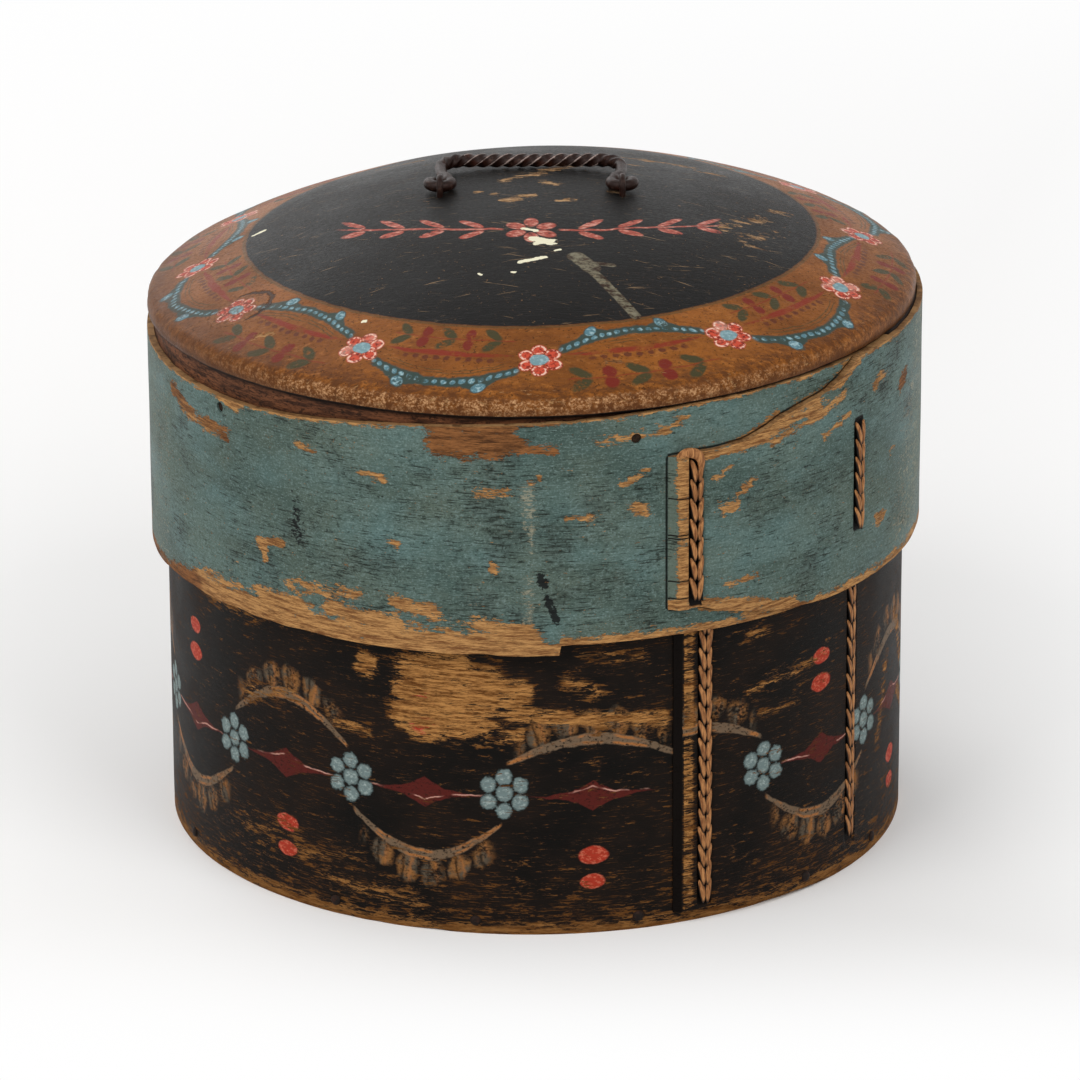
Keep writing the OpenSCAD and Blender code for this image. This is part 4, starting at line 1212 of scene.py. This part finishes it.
def makeLidBoard():
    b = lidBoard
    bm = bmesh.new()
    verts = [bm.verts.new((r, 0, z)) for r, z in boardProfile()]
    for one, two in zip(verts, verts[1:]):
        bm.edges.new((one, two))
    bmesh.ops.spin(bm, geom=list(bm.verts) + list(bm.edges), cent=(0, 0, 0), axis=(0, 0, 1), dvec=(0, 0, 0),
                   angle=2 * pi, steps=b["steps"], use_merge=True)
    bmesh.ops.remove_doubles(bm, verts=bm.verts, dist=0.001)
    bmesh.ops.recalc_face_normals(bm, faces=bm.faces)
    shoulderTop = rimZ - 0.2
    low = bm.verts.layers.float.new("low")  # painted shade on the side of the rim, and painted shadow under it
    for face in bm.faces:
        middle = face.calc_center_median()
        r = hypot(middle.x, middle.y)
        outer = face.normal.z > -0.3 and middle.z > rimZ + 0.3
        face.material_index = 0 if outer and (middle.z > b["hollowTop"] + 1 or r > b["mouthR"] - 60) else 1
    for v in bm.verts:
        x, y, z = v.co
        r = hypot(x, y)
        if r < 1e-6:
            continue
        angle = degrees(atan2(x, -y))
        v[low] = ramp(z, rimZ + 4.5, rimZ + 1) if z > rimZ - 0.5 and r > b["mouthR"] else 0
        onShoulder = z < shoulderTop and r > b["mouthR"] + 10
        grow = insideRAt(lidStrip, angle) - lidStrip["insideR"] if onShoulder else 0
        rim = ramp(r, 155, 163) * ramp(z, rimZ - 2, rimZ)
        wear = (b["rimWear"] * (1 + dent(x, y, z, 7, 3)) + b["rimDents"] * bulge(x, y, z, 21, 8)) * rim
        v.co.xy *= (r + grow - wear) / r
        lift = boardWarp(angle) * ramp(r, 55, 165) * min(max((z - 213) / (rimZ - 213), 0), 1)
        v.co.z += lift + b["topDents"] * dent(*v.co, 45, 4) * ramp(r, 20, 60) * ramp(r, 163, 150)
        if v.co.z > rimZ + 2:
            v.co.z -= 0.25 * wear
    piece = toObject(bm, "lidBoard", ["lidPaint", "grimyWood"])
    x, y, z = places(piece.data)
    worn = strokes(x, y, boardWorn) * b["wornStrokes"] + b["wornBase"]
    worn += b["wornRim"] * slope(np.hypot(x, y), 154, 161)
    flowers = list(lidOrnament["flowers"])
    turned = flowers[0] + (anglesOf(x, y) - flowers[0]) % 360
    even = (turned - flowers[0]) / lidOrnament["spacing"]
    uneven = np.interp(turned, flowers + [flowers[0] + 360], range(len(flowers) + 1)) - even
    addFields(piece, worn=unit(worn), uneven=uneven)
    mount(piece, "lid", "lid_board")


# Lacing of split root

stitch = {"lobeLen": 11.0, "lobeW": 3.2, "lean": 10.0, "spread": 1.3, "tip": 5.0, "sunk": 0.95, "bow": 0.55,
          "backW": 3.0, "backT": 0.9, "backOut": 0.6, "sizeChance": 0.06, "leanChance": 2.5}
lidWrap = {"w": 2.2, "t": 0.8, "sides": 10, "route": [  # angle, height and how far out, over the ridge
    (20.9, 211.8, 0.6), (21.5, 213.9, 1.6), (22.5, 214.3, 2.2), (23.6, 212.9, 2.4), (24.2, 209.9, 2.2),
    (24.3, 205.5, 1.2)]}


def addLobe(bm, seam, z, side, chance, hollow):
    half = (seam["proud"] + stitch["sunk"]) / 2
    made = ball(bm, 14, 10)
    size = 1 + chance.uniform(-stitch["sizeChance"], stitch["sizeChance"])
    lean = (stitch["lean"] + chance.uniform(-stitch["leanChance"], stitch["leanChance"])) * side
    for v in made:
        along = v.co.z
        # painted shade on the lobe's sides, its lower end and its back against the wall
        dark = max(0.0, abs(v.co.x) - 0.45) * 2.1 + max(0.0, -0.35 - along) * 1.3
        v[hollow] = min(1.0, dark + (0.9 if v.co.y > 0.1 else 0.0))
        narrow = 1 - 0.45 * max(0.0, -along) ** 2 - 0.18 * max(0.0, along) ** 2
        v.co.x *= stitch["lobeW"] / 2 * narrow * size
        v.co.y *= half * (1 - 0.25 * max(0.0, along))
        v.co.z *= stitch["lobeLen"] / 2 * size
        v.co.x += side * stitch["bow"] * along * along  # the root bows out round the hole
    turnVerts(bm, made, -stitch["tip"], "X")
    turnVerts(bm, made, lean, "Y")
    middleR = seam["strip"]["lapR"] + (seam["proud"] - stitch["sunk"]) / 2 - 0.1
    moveVerts(bm, made, side * stitch["spread"], -middleR, z + stitch["lobeLen"] / 2)
    turnVerts(bm, made, seam["angle"])


def addWrap(bm):  # one root end laid over the top of the lid's front row
    w = lidWrap
    path = smoothPath([wallPoint(lidStrip["lapR"] + out - w["t"], angle, z) for angle, z, out in w["route"]], 5)

    def section(i):
        outward = Vector((path[i].x, path[i].y, 0)).normalized()
        across = heading(path, i).cross(outward).normalized()
        half = w["w"] * (0.55 + 0.45 * sin(pi * i / (len(path) - 1)))
        return [path[i] + across * (half * cos(a)) + outward * (w["t"] * sin(a)) for a in ringTurns(w["sides"])]

    sweep(bm, path, section)


def makeLacing(name):
    seam = seams[name]
    chance = random.Random(seam["node"])
    bm = bmesh.new()
    hollow = bm.verts.layers.float.new("hollow")  # painted shade where the roots press together and on their backs
    room = seam["top"] - seam["foot"] - stitch["lobeLen"]
    count = round(room / pitch)
    step = room / count
    for i in range(count + 1):
        z = seam["foot"] + i * step
        for side in (-1, 1):
            addLobe(bm, seam, z, side, chance, hollow)
        back = ball(bm, 10, 6)
        bmesh.ops.scale(bm, vec=(stitch["backW"] / 2, stitch["backT"] / 2, step * 0.62), verts=back)
        moveVerts(bm, back, 0, -seam["strip"]["insideR"] - stitch["backOut"], z + stitch["lobeLen"] / 2)
        turnVerts(bm, back, seam["angle"])
    if name == "lidFront":
        addWrap(bm)
    mount(toObject(bm, name + "Lacing", ["root"]), seam["body"], seam["node"])


# Iron bail handle: one bar with a curled eye at each end and a twisted grip

hingeZ = frame["joints"][1]["pos_m"][2] / mm
handle = {"span": 78.0, "reach": 37.0, "cornerR": 10.0, "barR": 2.45, "gripR": 2.4, "lead": 23.0, "eyeR": 4.7,
          "eyeTurn": (118, 406), "eyeRun": 30.0, "legRun": 47.0, "ringSides": 24, "gripStep": 0.55, "square": 6,
          "neck": ((3.0, 11.2, 0.1), (1.4, 14.5, 0.1), (0.4, 19.0, 0))}


def makeHandle():
    h = handle
    half = h["span"] / 2
    route = arc((-half, h["eyeR"]), h["eyeR"], *h["eyeTurn"], 29)  # round the pivot and back beside the leg
    route = [Vector((x, y, 0)) for x, y in route]
    route += [Vector((-half + x, y, z)) for x, y, z in h["neck"]]
    corner = arc((-half + h["cornerR"], h["reach"] - h["cornerR"]), h["cornerR"], 180, 90, 8)
    route += [Vector((x, y, 0)) for x, y in corner]
    mirrored = smoothPath([Vector((-p.x, p.y, p.z)) for p in reversed(route)], 4)
    route = smoothPath(route, 4)
    steps = int((mirrored[0].x - route[-1].x) / h["gripStep"])
    path = route + [route[-1].lerp(mirrored[0], i / steps) for i in range(1, steps)] + mirrored
    run = [0.0]
    for one, two in zip(path, path[1:]):
        run.append(run[-1] + (two - one).length)
    total = run[-1]

    def section(i):
        ahead = heading(path, i)
        across = Vector((-ahead.y, ahead.x, 0)).normalized()
        up = ahead.cross(across) * -1
        gone = min(run[i], total - run[i])
        twisted = ramp(gone, h["legRun"] - 7, h["legRun"] + 3)
        thick = h["barR"] * (0.62 + 0.38 * ramp(gone, 0, 5)) + (h["gripR"] - h["barR"]) * twisted
        flat = 1 - 0.2 * ramp(gone, h["eyeRun"] - 4, h["eyeRun"] + 3) * (1 - twisted)
        turned = 2 * pi * min(max(run[i] - h["legRun"] + 7, 0), total - 2 * h["legRun"] + 14) / h["lead"]
        ring = []
        for side in ringTurns(h["ringSides"]):
            squared = (abs(cos(side)) ** h["square"] + abs(sin(side)) ** h["square"]) ** (-1 / h["square"])
            a = side + turned
            r = thick * (1 + (squared - 1) * twisted)
            r *= 1 + 0.04 * dent(path[i].x + 9 * cos(a), path[i].y + 9 * sin(a), 0, 5, 6)
            ring.append(path[i] + across * (r * cos(a)) + up * (r * flat * sin(a)))
        return ring

    bm = bmesh.new()
    sweep(bm, path, section)
    moveVerts(bm, bm.verts, 0, 0, hingeZ)
    piece = toObject(bm, "bailHandle", ["wroughtIron"])
    x, y, z = places(piece.data)
    # the grip's ridges, lightened as rubbed iron and as a painted highlight
    fromGrip = np.hypot(y - h["reach"], z - hingeZ) / h["gripR"]
    onGrip = np.abs(x) < half - h["cornerR"]
    addFields(piece, edge=onGrip * unit((fromGrip - 1.02) / 0.22))
    mount(piece, "bail", "handle")


staple = {"archR": 4.2, "wireR": 1.3, "legR": 1.15, "clench": 7.0, "sides": 14}


def makeStaple(name, node, x):
    s = staple
    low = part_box(node)[0].z / mm + s["wireR"] + 0.1
    leg = [(-s["archR"] - s["clench"], low), (-s["archR"] - 2.5, low), (-s["archR"] - 0.5, low + 0.7),
           (-s["archR"], low + 3), (-s["archR"], hingeZ - 4)]
    route = leg + arc((0, hingeZ), s["archR"], 180, 0, 12) + [(-y, z) for y, z in reversed(leg)]
    path = smoothPath([Vector((x, y, z)) for y, z in route], 4)

    def section(i):
        side = Vector((1, 0, 0))
        up = heading(path, i).cross(side)
        thick = s["legR"] + (s["wireR"] - s["legR"]) * ramp(path[i].z, hingeZ - 6, hingeZ)
        ring = []
        for a in ringTurns(s["sides"]):
            rough = 1 + 0.07 * dent(path[i].y * 2 + 4 * cos(a), path[i].z * 2, x + 4 * sin(a), 4, 1)
            r = thick * rough
            ring.append(path[i] + side * (r * 1.06 * cos(a)) + up * (r * 0.94 * sin(a)))
        return ring

    bm = bmesh.new()
    sweep(bm, path, section)
    mount(toObject(bm, name, ["wroughtIron"]), "lid", node)


# Nails round the foot

nails = {"angles": (-155, -127, -98, -68, -32, -9, 16, 46, 65, 95, 122, 150, 178), "z": 6.0, "headR": 2.5,
         "headH": 1.15, "headSquash": 0.94, "sunk": 0.15, "shankR": 0.95, "shankLen": 14.5}


def makeNails():
    bm = bmesh.new()
    depth = nails["shankLen"]
    for number, angle in enumerate(nails["angles"]):
        seat = outsideRAt(bodyStrip, angle) - nails["sunk"]
        head = ball(bm, 16, 8)
        for v in head:
            v.co.z = max(v.co.z, -0.1)
        bmesh.ops.scale(bm, verts=head,
                        vec=(nails["headR"], nails["headR"] * nails["headSquash"], nails["headH"]))
        for v in head:
            v.co *= 1 + 0.1 * dent(*v.co, 1.7, number * 3.1)
        turnVerts(bm, head, 90, "X")
        moveVerts(bm, head, 0, -seat, nails["z"])
        shank = rod(bm, 10, nails["shankR"], nails["shankR"] * 0.5, depth)
        turnVerts(bm, shank, -90, "X")
        moveVerts(bm, shank, 0, -seat + depth / 2 - 0.2, nails["z"])
        turnVerts(bm, head + shank, angle)
    mount(toObject(bm, "bottomNails", ["rustyIron"]), "box", "bottom_nails")


# Camera and studio

camera = {"lens": 229.5, "sensor": 36, "distance": 3.0, "elevation": 20.46, "pitch": 20.497, "roll": 0.27,
          "sideways": 0.0031, "aimHeight": 0.12}
studio = {
    "world": 0.54,
    "lamps": [  # place, width, watts
        ((-1.4, -1.5, 2.1), 1.5, 26),
        ((1.3, -1.7, 1.9), 1.4, 20),
        ((-1.1, 1.6, 1.5), 1.6, 14),
    ],
    "lampAim": (0, 0, 0.15), "floor": "#fbfaf9", "floorSize": 14, "floorRough": 0.9,
    "nearFade": (0.12, 0.29), "farFade": (0.3, 1.5), "sideFade": (0.15, 0.44), "sideShift": 0.035,
    "sideMost": 0.85,
}


def addCamera():
    elevation, tip, roll = (radians(camera[name]) for name in ("elevation", "pitch", "roll"))
    ahead = Vector((0, cos(tip), -sin(tip)))
    level = Vector((1, 0, 0))
    right = level * cos(roll) - level.cross(ahead) * sin(roll)
    data = bpy.data.cameras.new("photoCamera")
    data.lens = camera["lens"]
    data.sensor_width = camera["sensor"]
    eye = stand("photoCamera", data)
    turned = Matrix((right, right.cross(ahead), -ahead)).transposed().to_4x4()
    spot = Vector((camera["sideways"], -camera["distance"] * cos(elevation),
                   camera["distance"] * sin(elevation) + camera["aimHeight"]))
    eye.matrix_world = Matrix.Translation(spot) @ turned
    bpy.context.scene.camera = eye


def seenRays(tree):  # rays that show the background itself, straight or in metal
    rays = tree.nodes.new("ShaderNodeLightPath")
    seen = Wire(tree, rays.outputs["Is Camera Ray"])
    for name in ("Is Glossy Ray", "Is Transmission Ray"):
        seen = seen.most(Wire(tree, rays.outputs[name]))
    return seen


def addLight():
    scene = bpy.context.scene
    scene.view_settings.view_transform = "Standard"
    scene.world = bpy.data.worlds.new("studio")
    scene.world.use_nodes = True
    tree = scene.world.node_tree
    sky = tree.nodes["Background"]
    sky.inputs["Color"].default_value = (1, 1, 1, 1)
    feed(sky.inputs["Strength"], seenRays(tree) * (1 - studio["world"]) + studio["world"])
    for number, (spot, width, watts) in enumerate(studio["lamps"]):
        data = bpy.data.lights.new("softbox%d" % number, "AREA")
        data.shape = "SQUARE"
        data.size = width
        data.energy = watts
        lamp = stand(data.name, data)
        lamp.location = spot
        lamp.rotation_euler = (Vector(studio["lampAim"]) - Vector(spot)).to_track_quat("-Z", "Y").to_euler()


def addFloor():
    bm = bmesh.new()
    bmesh.ops.create_grid(bm, x_segments=1, y_segments=1, size=studio["floorSize"] / 2)
    mesh = bpy.data.meshes.new("floor")
    bm.to_mesh(mesh)
    bm.free()
    material, tree, shader, position = newMaterial("paleFloor")
    shader.inputs["Base Color"].default_value = rgb(studio["floor"])
    shader.inputs["Roughness"].default_value = studio["floorRough"]
    x, y = split(position)[:2]
    near = rise(y * -mm, *studio["nearFade"])
    far = rise(y * mm, *studio["farFade"])
    aside = rise(abs(x * mm + studio["sideShift"]), *studio["sideFade"]) * studio["sideMost"]
    glow = newNode(tree, "Emission", ((1, 1, 1, 1),))
    fade = near.most(far).most(aside) * seenRays(tree)
    mixed = newNode(tree, "MixShader", (fade, Wire(tree, shader.outputs[0]), glow))
    feed(tree.nodes["Material Output"].inputs["Surface"], mixed)
    mesh.materials.append(material)
    stand("floor", mesh)


def dressNode(node, look):  # a CAD node that keeps its own shape
    slots = frame["nodes"][node].data.materials
    slots.clear()
    slots.append(materials[look])


addCamera()
addLight()
addFloor()
makeBodyBand()
makeLidBand()
makeLidBoard()
for name in seams:
    makeLacing(name)
makeHandle()
makeStaple("leftStaple", "left_staple", -handle["span"] / 2)
makeStaple("rightStaple", "right_staple", handle["span"] / 2)
makeNails()
dressNode("bottom_board", "boardWood")
dressNode("lid_pegs", "pegWood")
